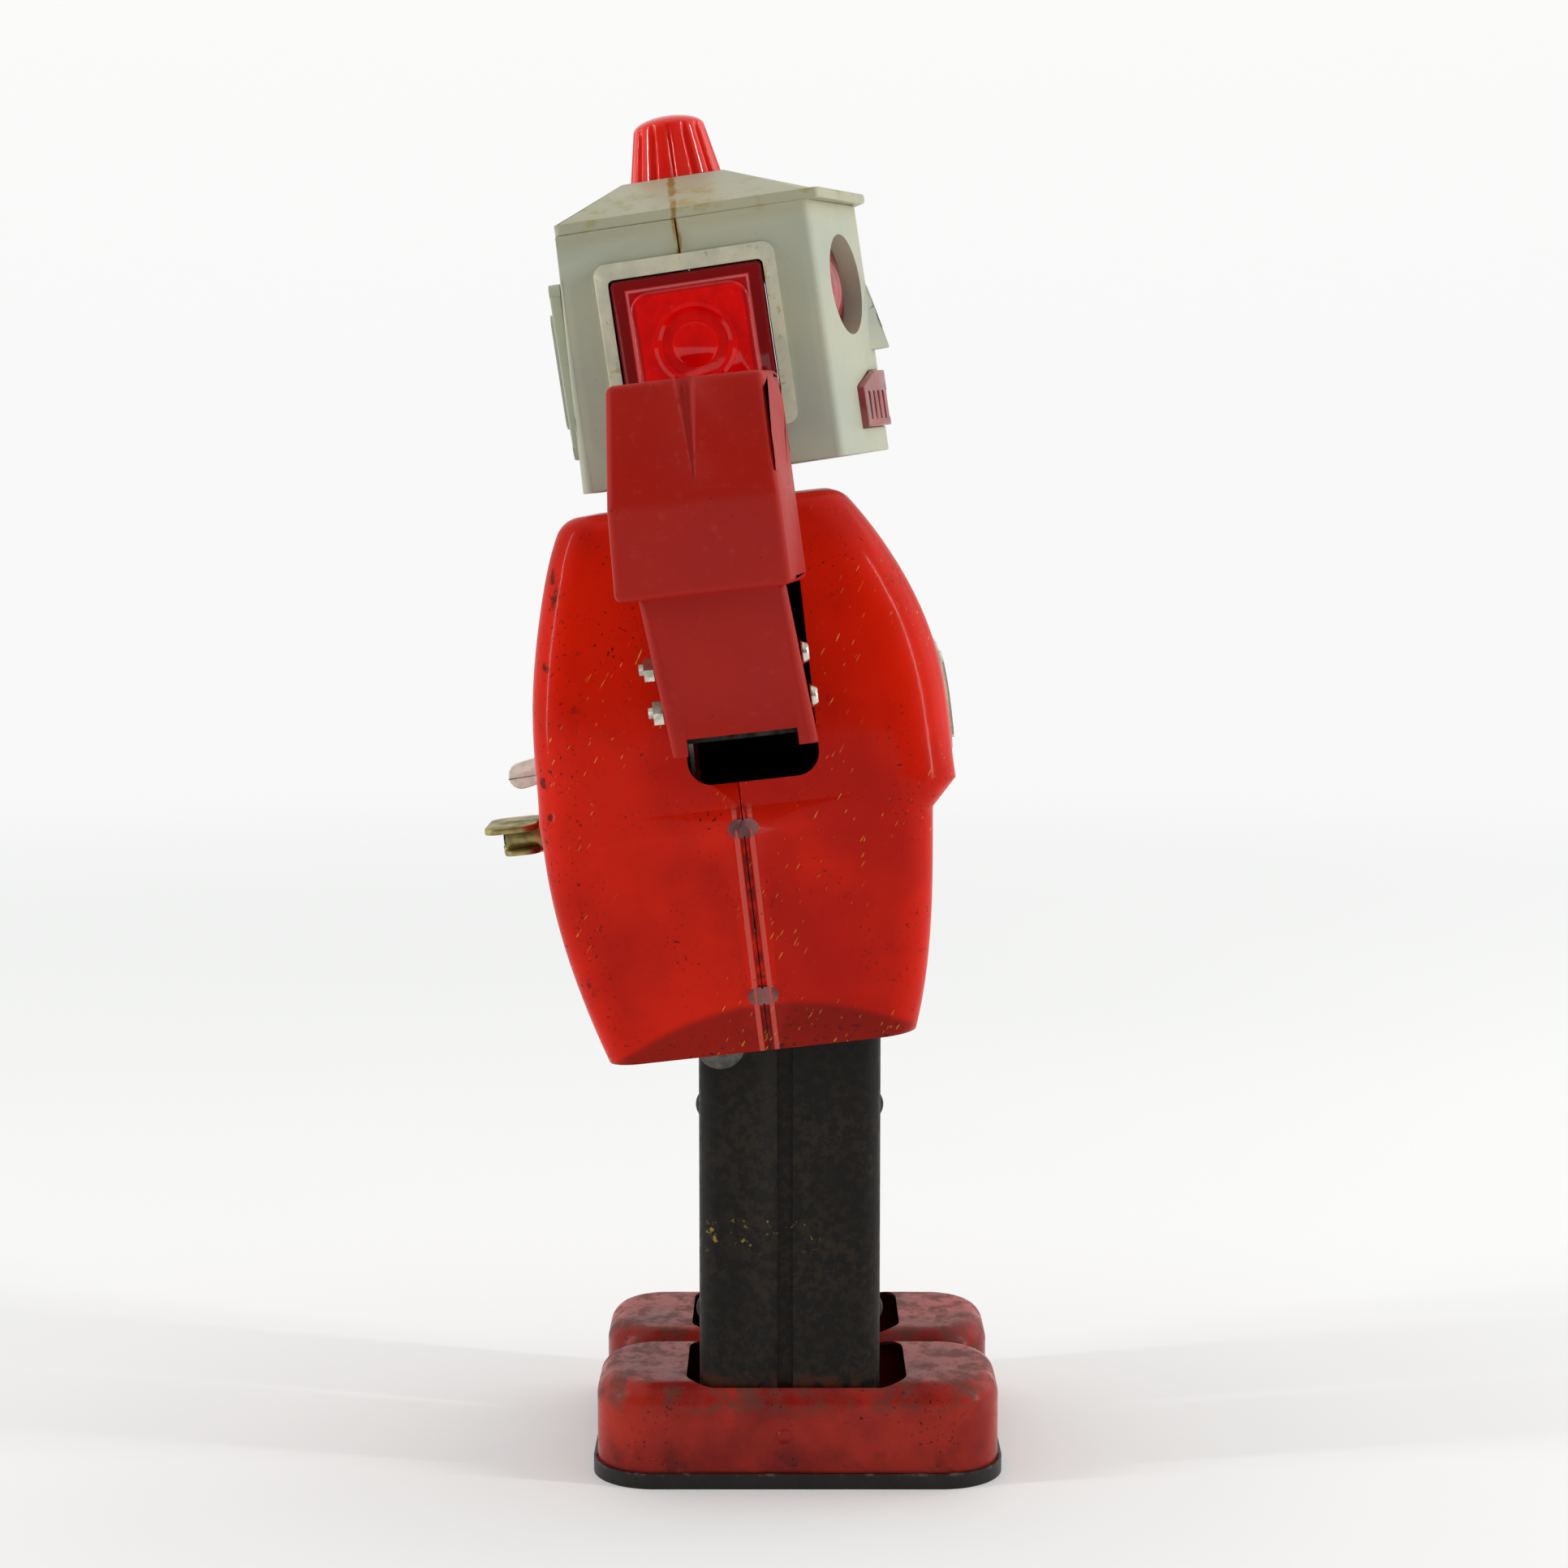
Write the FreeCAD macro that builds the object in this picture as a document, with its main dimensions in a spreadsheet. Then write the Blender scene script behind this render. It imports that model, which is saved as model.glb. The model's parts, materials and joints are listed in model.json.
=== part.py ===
"""Tin wind-up walking robot with a plastic head, built as a parametric FreeCAD document.

Millimetres, +Z up, the robot faces -Y, and the origin lies on the floor under the middle of its box.
Three frames are used. "floor" is upright and holds the legs and feet. "torso" stands on the hips and
leans back. "head" stands on the torso and leans back a little more.
"""
import FreeCAD, Part
import math
import os
import re

from FreeCAD import Placement, Rotation, Vector

# ---------------------------------------------------------------- driving dimensions, in mm and degrees
SIZES = {
    # shared sheet, fits and fasteners
    "tin": 0.6,
    "plate": 1.2,
    "fit": 0.25,
    "running": 0.06,
    "plastic": 1.8,
    # how the three frames stand
    "hip_height": 92.0,
    "torso_lean": 6.4,
    "head_lean": 8.4,
    "neck_rise": 5.6,
    "head_set_back": 0.8,
    # torso corners are in SECTIONS
    "top_round": 6.0,
    "seam_at": 2.4,
    "seam_gap": 0.2,
    "bead_width": 1.9,
    "bead_rise": 0.9,
    "bead_bottom": 7.2,
    "bead_top": 59.0,
    "tab_reach": 3.2,
    "tab_tall": 4.0,
    "tab_low": 18.4,
    "tab_high": 55.0,
    "slot_wide": 27.6,
    "slot_centre": -1.3,
    "slot_bottom": 64.6,
    "slot_top": 112.0,
    "slot_corner": 5.0,
    # chest window and stud
    "window_wide": 44.0,
    "window_tall": 24.0,
    "window_centre": 75.5,
    "window_corner": 4.0,
    "rim_wide": 2.2,
    "stud_height": 26.0,
    "stud_radius": 1.9,
    # head
    "head_half": 33.0,
    "head_deep": 28.1,
    "prow": 10.9,
    "head_back_low": 28.0,
    "head_back_high": 25.5,
    "head_tall": 54.3,
    "roof_rise": 9.0,
    "roof_half": 11.8,
    "brim_thick": 2.2,
    "brim_reach": 2.4,
    "head_round": 2.4,
    "panel_side": 38.5,
    "panel_rise": 1.2,
    "lens_side": 32.4,
    "lens_step": 3.0,
    "lens_ring": 7.9,
    "panel_up": 27.6,
    "eye_radius": 10.85,
    "eye_out": 14.2,
    "eye_up": 36.6,
    "eye_tube": 5.4,
    "nose_top": 36.9,
    "nose_bottom": 22.3,
    "nose_reach": 3.6,
    "nose_half": 5.0,
    "mouth_half": 16.5,
    "mouth_bottom": 5.4,
    "mouth_tall": 12.3,
    "mouth_side": 8.8,
    "lip": 1.3,
    "neck_radius": 16.0,
    "neck_drop": 8.4,
    "beacon_base": 10.3,
    "beacon_ahead": 0.85,
    "beacon_top": 7.9,
    "beacon_tall": 11.6,
    "beacon_dome": 3.0,
    # arms, from the swing pin outwards, in the torso frame
    "pin_out": 12.0,
    "pin_up": 86.5,
    "pin_radius": 1.5,
    "hub_radius": 3.6,
    "bracket_room": 6.4,
    "bracket_tall": 15.0,
    "arm_in": 56.0,
    "arm_thick": 17.0,
    "arm_splay": 8.0,
    "arm_half": 14.7,
    "arm_bottom": 73.2,
    "arm_top": 105.6,
    "arm_back_low": -0.45,
    "arm_back_high": 2.6,
    "hand_back": 4.2,
    "hand_half": 17.5,
    "hand_tip_half": 15.4,
    "hand_bulge": 124.0,
    "hand_top": 148.0,
    "hand_out": 86.8,
    "hand_out_top": 80.0,
    "flute_radius": 3.0,
    "arm_wall": 1.8,
    "arm_screw_pitch": 9.0,
    "arm_screw_radius": 1.3,
    "arm_head_radius": 2.45,
    "arm_screw_low": 82.2,
    "arm_nut_radius": 2.74,
    # legs and feet, in the floor frame
    "leg_out": 20.4,
    "leg_half": 15.5,
    "leg_deep": 19.8,
    "leg_ahead": 1.2,
    "leg_corner": 5.5,
    "leg_bottom": 7.0,
    "leg_top": 111.0,
    "groove_wide": 3.4,
    "groove_deep": 0.9,
    "hip_pin": 105.0,
    "hip_pin_radius": 1.5,
    "ankle_pin": 11.5,
    "stud_low": 35.0,
    "stud_high": 81.2,
    "leg_stud_radius": 2.6,
    "foot_half": 18.9,
    "foot_toe": 47.4,
    "foot_heel": 41.4,
    "foot_corner": 13.0,
    "foot_top": 22.7,
    "foot_round": 5.0,
    "foot_slot_front": 26.9,
    "foot_slot_back": 21.5,
    "sole_thick": 1.0,
    "sole_wall": 3.4,
    "sole_reach": 0.9,
    "wheel_radius": 4.4,
    "wheel_wide": 5.0,
    "wheel_spread": 29.0,
    "axle_radius": 1.2,
    # clockwork, in the torso frame
    "works_front": 15.0,
    "works_back": 35.0,
    "works_half": 27.0,
    "works_bottom": 24.0,
    "works_top": 72.0,
    "key_up": 52.6,
    "shaft_up": 32.6,
    "shaft_back": 7.4,
    "fork_ahead": 11.0,
    "fork_height": 123.6,
    "arbor_radius": 2.4,
    "pawl_pin_radius": 1.0,
    "cheek_out": 16.0,
    "key_reach": 61.3,
    "key_half": 10.5,
    "key_rise": 3.6,
    "lever_up": 69.0,
    "lever_reach": 55.5,
    "lever_wide": 6.0,
}
# Rounded-rectangle sections of the torso from the hem up:
# height, front, back, half width, front corner radius, back corner radius.
SECTIONS = {
    "hem": (5.8, -29.4, 37.3, 41.5, 8.0, 7.0),
    "thigh": (18.0, -32.8, 40.6, 44.6, 8.6, 7.6),
    "belly": (34.0, -35.6, 43.8, 47.6, 9.0, 8.0),
    "loin": (54.0, -37.9, 45.4, 49.6, 10.0, 9.0),
    "waist": (59.5, -43.5, 45.7, 50.0, 13.0, 9.0),
    "ribs": (75.0, -43.4, 44.9, 49.6, 14.0, 9.0),
    "chest": (90.0, -41.7, 43.3, 48.6, 14.0, 9.0),
    "shoulder": (104.0, -37.0, 40.3, 46.8, 13.0, 9.0),
    "collar": (115.0, -31.2, 37.0, 44.4, 12.0, 8.0),
    "top": (123.0, -25.6, 33.2, 41.4, 10.0, 7.0),
}
SECTION_WORDS = ("up", "front", "back", "half", "bend", "turn")

doc = FreeCAD.newDocument("tin_robot")
sheet = doc.addObject("Spreadsheet::Sheet", "Sizes")


def fill_sheet():
    """Writes every driving dimension into the sheet as a plain number with an alias."""
    cells = dict(SIZES)
    for name, numbers in SECTIONS.items():
        cells.update({f"{name}_{word}": n for word, n in zip(SECTION_WORDS, numbers)})
    for row, (alias, number) in enumerate(cells.items(), start=1):
        sheet.set(f"A{row}", alias)
        sheet.set(f"B{row}", str(number))
        sheet.setAlias(f"B{row}", alias)
    doc.recompute()
    return set(cells)


ALIASES = fill_sheet()


def size(alias):
    """One driving dimension as a number."""
    return float(sheet.get(alias))


def with_sheet(text):
    """An expression in which every alias points at the sheet."""
    return re.sub(
        r"[A-Za-z_]\w*",
        lambda m: "Sizes." + m.group(0) if m.group(0) in ALIASES else m.group(0),
        str(text),
    )


def bind(thing, values):
    """Binds properties of an object to expressions over the sheet."""
    for path, text in values.items():
        thing.setExpression(path, with_sheet(text))


# ---------------------------------------------------------------- primitives, booleans and sketches
TURNS = {
    "x": Rotation(Vector(0, 1, 0), 90),
    "y": Rotation(Vector(1, 0, 0), -90),
    "z": Rotation(),
}


def at(thing, place):
    for letter, text in zip("xyz", place):
        bind(thing, {f"Placement.Base.{letter}": text})
    return thing


def box(name, lengths, centre):
    """A box centred in X and Y on centre, standing on its Z."""
    made = doc.addObject("Part::Box", name)
    bind(made, dict(zip(("Length", "Width", "Height"), lengths)))
    x, y, z = centre
    return at(made, (f"{x} - ({lengths[0]}) / 2", f"{y} - ({lengths[1]}) / 2", z))


def rod(name, radius, length, start, axis="z"):
    """A cylinder from start along an axis."""
    made = doc.addObject("Part::Cylinder", name)
    made.Placement = Placement(Vector(), TURNS[axis])
    bind(made, {"Radius": radius, "Height": length})
    return at(made, start)


def taper(name, radius, end_radius, length, start, axis="z"):
    made = doc.addObject("Part::Cone", name)
    made.Placement = Placement(Vector(), TURNS[axis])
    bind(made, {"Radius1": radius, "Radius2": end_radius, "Height": length})
    return at(made, start)


def ball(name, radius, centre):
    made = doc.addObject("Part::Sphere", name)
    bind(made, {"Radius": radius})
    return at(made, centre)


def fuse(name, *shapes):
    made = doc.addObject("Part::MultiFuse", name)
    made.Shapes = list(shapes)
    return made


def common(name, *shapes):
    made = doc.addObject("Part::MultiCommon", name)
    made.Shapes = list(shapes)
    return made


def cut(name, base, *tools):
    made = doc.addObject("Part::Cut", name)
    made.Base = base
    made.Tool = tools[0] if len(tools) == 1 else fuse(name + "_tools", *tools)
    return made


def mirrored(name, source):
    """The same piece on the robot's left."""
    made = doc.addObject("Part::Mirroring", name)
    made.Source = source
    made.Base = (0, 0, 0)
    made.Normal = (1, 0, 0)
    return made


def tube(name, outer, inner, length, start, axis="z"):
    """A cylinder with a bore right through it."""
    return cut(name, rod(name + "_out", outer, length, start, axis), rod(name + "_in", inner, length, start, axis))


def sketch_on(body, name, plane="XY_Plane", offset="0"):
    """A sketch on one of the body's own origin planes, moved along the plane's normal."""
    sketch = body.newObject("Sketcher::SketchObject", name)
    origin_plane = next(f for f in body.Origin.OriginFeatures if f.Role == plane)
    sketch.AttachmentSupport = [(origin_plane, "")]
    sketch.MapMode = "FlatFace"
    bind(sketch, {"AttachmentOffset.Base.z": offset})
    return sketch


def name_size(sketch, constraint, name, text):
    """Adds a dimension to a sketch and binds it to an expression."""
    sketch.renameConstraint(sketch.addConstraint(constraint), name)
    bind(sketch, {f"Constraints.{name}": text})


def pin_point(sketch, edge, end, label, x, y):
    """Places one end of an edge at (x, y) from the sketch's origin."""
    import Sketcher

    name_size(sketch, Sketcher.Constraint("DistanceX", -1, 1, edge, end, 1.0), label + "_x", x)
    name_size(sketch, Sketcher.Constraint("DistanceY", -1, 1, edge, end, 1.0), label + "_y", y)


def outline(body, name, points, plane="XY_Plane", offset="0"):
    """A closed outline of straight lines through points given as pairs of expressions."""
    import Sketcher

    sketch = sketch_on(body, name, plane, offset)
    count = len(points)
    rough = [
        Vector(*(float(doc_value(text)) for text in point), 0) for point in points
    ]
    for i in range(count):
        sketch.addGeometry(Part.LineSegment(rough[i], rough[(i + 1) % count]), False)
    for i in range(count):
        sketch.addConstraint(Sketcher.Constraint("Coincident", i, 2, (i + 1) % count, 1))
    for i, (x, y) in enumerate(points):
        pin_point(sketch, i, 1, f"corner{i}", x, y)
    return sketch


def doc_value(text):
    """The number that an expression over the sheet gives now."""
    return number_of(with_sheet(text))


def number_of(text):
    value = sheet.evalExpression(text)
    return getattr(value, "Value", value)


def rounded_rectangle(body, name, left, right, low, high, bend, turn=None, plane="XY_Plane", offset="0"):
    """A rectangle whose corners are arcs: radius bend at the low edge, turn at the high edge."""
    import Sketcher

    turn = bend if turn is None else turn
    sketch = sketch_on(body, name, plane, offset)
    x0, x1, y0, y1, r0, r1 = (float(doc_value(t)) for t in (left, right, low, high, bend, turn))
    corners = [
        (x0 + r0, y0 + r0, r0, math.pi, 1.5 * math.pi),
        (x1 - r0, y0 + r0, r0, 1.5 * math.pi, 2 * math.pi),
        (x1 - r1, y1 - r1, r1, 0, 0.5 * math.pi),
        (x0 + r1, y1 - r1, r1, 0.5 * math.pi, math.pi),
    ]
    for cx, cy, radius, start, end in corners:
        circle = Part.Circle(Vector(cx, cy, 0), Vector(0, 0, 1), radius)
        sketch.addGeometry(Part.ArcOfCircle(circle, start, end), False)
    ends = [
        (Vector(x0 + r0, y0, 0), Vector(x1 - r0, y0, 0)),
        (Vector(x1, y0 + r0, 0), Vector(x1, y1 - r1, 0)),
        (Vector(x1 - r1, y1, 0), Vector(x0 + r1, y1, 0)),
        (Vector(x0, y1 - r1, 0), Vector(x0, y0 + r0, 0)),
    ]
    for start, end in ends:
        sketch.addGeometry(Part.LineSegment(start, end), False)
    for i in range(4):
        sketch.addConstraint(Sketcher.Constraint("Tangent", i, 2, 4 + i, 1))
        sketch.addConstraint(Sketcher.Constraint("Tangent", 4 + i, 2, (i + 1) % 4, 1))
    for line in (4, 6):
        sketch.addConstraint(Sketcher.Constraint("Horizontal", line))
    for line in (5, 7):
        sketch.addConstraint(Sketcher.Constraint("Vertical", line))
    sketch.addConstraint(Sketcher.Constraint("Equal", 0, 1))
    sketch.addConstraint(Sketcher.Constraint("Equal", 2, 3))
    name_size(sketch, Sketcher.Constraint("Radius", 0, r0), "bend", bend)
    name_size(sketch, Sketcher.Constraint("Radius", 2, r1), "turn", turn)
    name_size(sketch, Sketcher.Constraint("DistanceY", -1, 1, 4, 1, y0), "low", low)
    name_size(sketch, Sketcher.Constraint("DistanceY", -1, 1, 6, 1, y1), "high", high)
    name_size(sketch, Sketcher.Constraint("DistanceX", -1, 1, 5, 1, x1), "right", right)
    name_size(sketch, Sketcher.Constraint("DistanceX", -1, 1, 7, 1, x0), "left", left)
    return sketch


def new_body(name):
    return doc.addObject("PartDesign::Body", name)


def pad(body, sketch, length, both_ways=False):
    made = body.newObject("PartDesign::Pad", sketch.Name + "_pad")
    made.Profile = sketch
    made.Midplane = both_ways
    bind(made, {"Length": length})
    return made


def loft(body, name, sketches, ruled=False):
    made = body.newObject("PartDesign::AdditiveLoft", name)
    made.Profile = sketches[0]
    made.Sections = sketches[1:]
    made.Ruled = ruled
    return made


def round_edges(body, name, radius, wanted):
    """Fillets the edges of the body's tip that a test picks."""
    doc.recompute()
    base = body.Tip
    picked = [f"Edge{i + 1}" for i, e in enumerate(base.Shape.Edges) if wanted(e)]
    made = body.newObject("PartDesign::Fillet", name)
    made.Base = (base, picked)
    bind(made, {"Radius": radius})
    doc.recompute()
    return made


def upright(edge):
    """True for a straight vertical edge."""
    a, b = edge.Vertexes[0].Point, edge.Vertexes[-1].Point
    return abs(a.x - b.x) + abs(a.y - b.y) < 1e-4 < abs(a.z - b.z)


def at_height(height):
    """A test for edges that lie whole at one height."""
    return lambda edge: all(abs(v.Z - height) < 1e-4 for v in edge.Vertexes)


def prism(name, left, right, low, high, corner, bottom, height, plane="XY_Plane"):
    """A rounded-rectangle block raised from bottom along its plane's normal."""
    body = new_body(name)
    pad(body, rounded_rectangle(body, name + "_outline", left, right, low, high, corner, None, plane, bottom), height)
    return body


def disc_prism(name, points, bottom, height, plane="XY_Plane", both_ways=False):
    """A straight-sided block from an outline of points."""
    body = new_body(name)
    pad(body, outline(body, name + "_outline", points, plane, bottom), height, both_ways)
    return body


# ---------------------------------------------------------------- frames and nodes
FRAME_SHIFT = "-(key_reach * cos(torso_lean) + (key_up + key_rise) * sin(torso_lean) - foot_toe - sole_reach) / 2"
LIFT = "(top_up + neck_rise)"
FRAMES = {
    "floor": ("0", FRAME_SHIFT, "0", None),
    "torso": ("0", FRAME_SHIFT, "hip_height", "torso_lean"),
    "head": (
        "0",
        f"{FRAME_SHIFT} + {LIFT} * sin(torso_lean) + head_set_back",
        f"hip_height + {LIFT} * cos(torso_lean)",
        "head_lean",
    ),
}
NODES = []


def node(label, frame, *pieces):
    """One named sub-part: the pieces it is made of, set into their frame."""
    made = doc.addObject("Part::Compound", "piece_" + label)
    made.Links = list(pieces)
    made.Label = label
    if made.Label != label:
        raise RuntimeError(f"{label}: the name is taken")
    x, y, z, lean = FRAMES[frame]
    if lean:
        made.Placement = Placement(Vector(), Rotation(Vector(-1, 0, 0), size(lean)))
        bind(made, {"Placement.Rotation.Angle": lean})
    at(made, (x, y, z))
    NODES.append(made)
    return made


def both_sides(label, frame, build):
    """Builds a piece on the robot's right (-X) and its mirror image on the left."""
    right = build()
    right = right if isinstance(right, (list, tuple)) else [right]
    left = [mirrored(f"{piece.Name}_mirror", piece) for piece in right]
    node(label.format("right"), frame, *right)
    node(label.format("left"), frame, *left)


# ---------------------------------------------------------------- torso
def torso_solid(name, grow):
    """The torso's outer form, grown outwards by an amount, or shrunk where it is negative."""
    body = new_body(name)

    def section(part, end=""):
        return rounded_rectangle(
            body,
            f"{name}_{part}" + ("_end" if end else ""),
            f"-({part}_half + ({grow}))",
            f"{part}_half + ({grow})",
            f"{part}_front - ({grow})",
            f"{part}_back + ({grow})",
            f"{part}_bend + ({grow})",
            f"{part}_turn + ({grow})",
            "XY_Plane",
            f"{part}_up {end}",
        )

    low = [section("hem"), section("thigh"), section("belly"), section("loin")]
    loft(body, name + "_skirt", low)
    if doc_value(grow) < 0:
        pad(body, section("hem", "- 3"), "3")
    lip = rounded_lip(body, name, grow)
    loft(body, name + "_lip", [lip[0], lip[1]], ruled=True)
    high = [section(part) for part in ("waist", "ribs", "chest", "shoulder", "collar")]
    loft(body, name + "_chest", high + [section("top", f"+ ({grow})")])
    doc.recompute()
    top = size("top_up") + doc_value(grow)
    round_edges(body, name + "_shoulders", f"top_round + ({grow})", at_height(top))
    return body


def rounded_lip(body, name, grow):
    """The two sections that the chest's overhang runs between."""
    made = []
    for part in ("loin", "waist"):
        made.append(
            rounded_rectangle(
                body,
                f"{name}_{part}_lip",
                f"-({part}_half + ({grow}))",
                f"{part}_half + ({grow})",
                f"{part}_front - ({grow})",
                f"{part}_back + ({grow})",
                f"{part}_bend + ({grow})",
                f"{part}_turn + ({grow})",
                "XY_Plane",
                f"{part}_up",
            )
        )
    return made


def torso():
    """Two pressed tin halves that meet at a side seam, with slots for the arms."""
    outer = torso_solid("torso_outer", "0")
    inner = torso_solid("torso_inner", "-tin")
    raised = torso_solid("torso_raised", "bead_rise")
    proud = torso_solid("torso_proud", "bead_rise + tin")
    wide = "waist_half * 3"
    slot = prism(
        "arm_slot",
        "slot_centre - slot_wide / 2",
        "slot_centre + slot_wide / 2",
        "slot_bottom",
        "slot_top",
        "slot_corner",
        "-waist_half * 1.5",
        wide,
        "YZ_Plane",
    )
    neck_hole = rod("neck_hole", "neck_radius + 0.5", "20", ("0", "head_set_back", "top_up - 10"))
    skin = cut("torso_skin", outer, inner, slot, neck_hole)
    key_hole = rod("key_hole", "arbor_radius + 1.0", "20", ("0", "waist_back - 10", "key_up"), "y")
    lever_slot = box(
        "lever_slot", ("plate + 1.2", "20", "lever_wide + 10"), ("0", "waist_back", "lever_up - lever_wide / 2 - 5")
    )
    back_space = box(
        "back_space",
        (wide, "waist_back * 2", "top_up * 2"),
        ("0", "seam_at + seam_gap / 2 + waist_back", "-top_up / 2"),
    )
    front_space = box(
        "front_space",
        (wide, "waist_back * 2", "top_up * 2"),
        ("0", "seam_at - seam_gap / 2 - waist_back", "-top_up / 2"),
    )

    def bead(name, side):
        """The rolled edge of one half, standing out from the side walls below the arm slot."""
        strip = box(
            name + "_strip",
            (wide, "bead_width - seam_gap / 2", "bead_top - bead_bottom"),
            ("0", f"seam_at + ({side}) * (bead_width / 2 + seam_gap / 4)", "bead_bottom"),
        )
        return cut(name, common(name + "_band", raised, strip), inner)

    front = fuse("torso_front", common("front_half", skin, front_space), bead("front_bead", "-1"))
    back = fuse("torso_back", common("back_half", skin, back_space), bead("back_bead", "1"))
    stud_hole = rod("stud_hole", "stud_radius * 0.6 + 0.05", "20", ("0", "belly_front - 10", "stud_height"), "y")
    window_hole = prism(
        "window_hole",
        "-window_wide / 2 + rim_wide",
        "window_wide / 2 - rim_wide",
        "window_centre - window_tall / 2 + rim_wide",
        "window_centre + window_tall / 2 - rim_wide",
        "window_corner - rim_wide / 2",
        "-waist_front - 12",
        "24",
        "XZ_Plane",
    )
    node("torso_front_shell", "torso", cut("torso_front_cut", front, window_hole, stud_hole))
    tab_holes = [
        box(f"back_tab_hole_{i}", ("5.2", "20", "1.4"), (x, "chest_back", "chest_up - 0.7"))
        for i, x in enumerate(("-18", "18"))
    ]
    node("torso_back_shell", "torso", cut("torso_back_cut", back, key_hole, lever_slot, *tab_holes))
    seam_tabs(proud, raised, wide)
    chest_window(outer, inner, raised, proud)


def seam_tabs(proud, raised, wide):
    """Split tabs bent over the seam's two rolled edges, at two heights on both sides."""
    pieces = []
    band = cut("tab_band", proud, raised)
    for name, height in (("low", "tab_low"), ("high", "tab_high")):
        for side, sign in (("front", "-1"), ("back", "1")):
            bar = box(
                f"tab_{name}_{side}_bar",
                (wide, "tab_reach - tab_tall / 2 - 0.2", "tab_tall"),
                ("0", f"seam_at + ({sign}) * (0.2 + (tab_reach - tab_tall / 2 - 0.2) / 2)", f"{height} - tab_tall / 2"),
            )
            end = rod(
                f"tab_{name}_{side}_end",
                "tab_tall / 2",
                wide,
                (f"-({wide}) / 2", f"seam_at + ({sign}) * (tab_reach - tab_tall / 2)", height),
                "x",
            )
            pieces.append(fuse(f"tab_{name}_{side}", bar, end))
    node("seam_tabs", "torso", *(common(f"{p.Name}_folded", band, p) for p in pieces))


def chest_window(outer, inner, raised, proud):
    """Bright rim, clear pane and printed dial plate in the chest, and the brass stud below them."""
    rim_out = prism(
        "rim_outline",
        "-window_wide / 2",
        "window_wide / 2",
        "window_centre - window_tall / 2",
        "window_centre + window_tall / 2",
        "window_corner",
        "-waist_front - 12",
        "24",
        "XZ_Plane",
    )
    rim_in = prism(
        "rim_inside",
        "-window_wide / 2 + rim_wide",
        "window_wide / 2 - rim_wide",
        "window_centre - window_tall / 2 + rim_wide",
        "window_centre + window_tall / 2 - rim_wide",
        "window_corner - rim_wide / 2",
        "-waist_front - 12",
        "24",
        "XZ_Plane",
    )
    pane_line = prism(
        "pane_outline",
        "-window_wide / 2 + rim_wide + fit",
        "window_wide / 2 - rim_wide - fit",
        "window_centre - window_tall / 2 + rim_wide + fit",
        "window_centre + window_tall / 2 - rim_wide - fit",
        "window_corner - rim_wide / 2 - fit",
        "-waist_front - 12",
        "24",
        "XZ_Plane",
    )
    node("chest_window_rim", "torso", cut("rim_ring", common("rim_block", rim_out, raised), outer, rim_in))
    node("chest_window_pane", "torso", cut("pane", common("pane_block", pane_line, proud), inner))
    dial_floor = torso_solid("dial_floor", "-2 * tin")
    dial_line = prism(
        "dial_outline",
        "-window_wide / 2 - 1",
        "window_wide / 2 + 1",
        "window_centre - window_tall / 2 - 1",
        "window_centre + window_tall / 2 + 1",
        "window_corner",
        "-waist_front - 12",
        "24",
        "XZ_Plane",
    )
    node("chest_dial_plate", "torso", cut("dial", common("dial_block", dial_line, inner), dial_floor))
    stud = fuse(
        "stud",
        rod("stud_head", "stud_radius", "0.8", ("0", "belly_front + (belly_up - stud_height) * 0.175 - 1.35", "stud_height"), "y"),
        rod("stud_stem", "stud_radius * 0.6", "3.6", ("0", "belly_front + (belly_up - stud_height) * 0.175 - 0.9", "stud_height"), "y"),
    )
    node("front_stud", "torso", stud)


def turned(name, thing, axis, angle, place):
    """A piece turned about an axis through the origin and then moved to its place."""
    made = doc.addObject("Part::Compound", name)
    made.Links = [thing]
    made.Placement = Placement(Vector(), Rotation(Vector(*axis), 1))
    bind(made, {"Placement.Rotation.Angle": angle})
    return at(made, place)


def gear(name, radius, teeth, tooth, thick, start, bore, axis="y", phase="0"):
    """A toothed wheel. Its teeth are bars of a given width spread evenly round a disc."""
    wheel = rod(name + "_disc", f"{radius} - {tooth} * 0.9", thick, ("0", "0", "0"))
    bars = []
    for i in range(teeth):
        bar = box(
            f"{name}_tooth{i}",
            (f"{tooth} * 1.65", f"{tooth} * 0.6", thick),
            (f"{radius} - {tooth} * 0.375", "0", "0"),
        )
        bars.append(turned(f"{name}_bar{i}", bar, (0, 0, 1), f"{i} * 360 / {teeth} + ({phase})", ("0", "0", "0")))
    solid = cut(name + "_flat", fuse(name + "_round", wheel, *bars), rod(name + "_bore", bore, thick, ("0", "0", "0")))
    laid = doc.addObject("Part::Compound", name)
    laid.Links = [solid]
    laid.Placement = Placement(Vector(), TURNS[axis])
    return at(laid, start)


# ---------------------------------------------------------------- head
def head_points(grow, back, brim="0"):
    """The head's five-sided plan, grown outwards: straight sides and back, and a shallow prow in front."""
    flare = "sqrt(head_half ^ 2 + prow ^ 2) / head_half"
    tip = f"-(head_deep + prow + ({brim})) - ({grow}) * {flare}"
    corner = f"{tip} + (head_half + ({grow})) * prow / head_half"
    side = f"head_half + ({grow})"
    return [
        (f"-({side})", corner),
        ("0", tip),
        (side, corner),
        (side, f"{back} + ({grow})"),
        (f"-({side})", f"{back} + ({grow})"),
    ]


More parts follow.
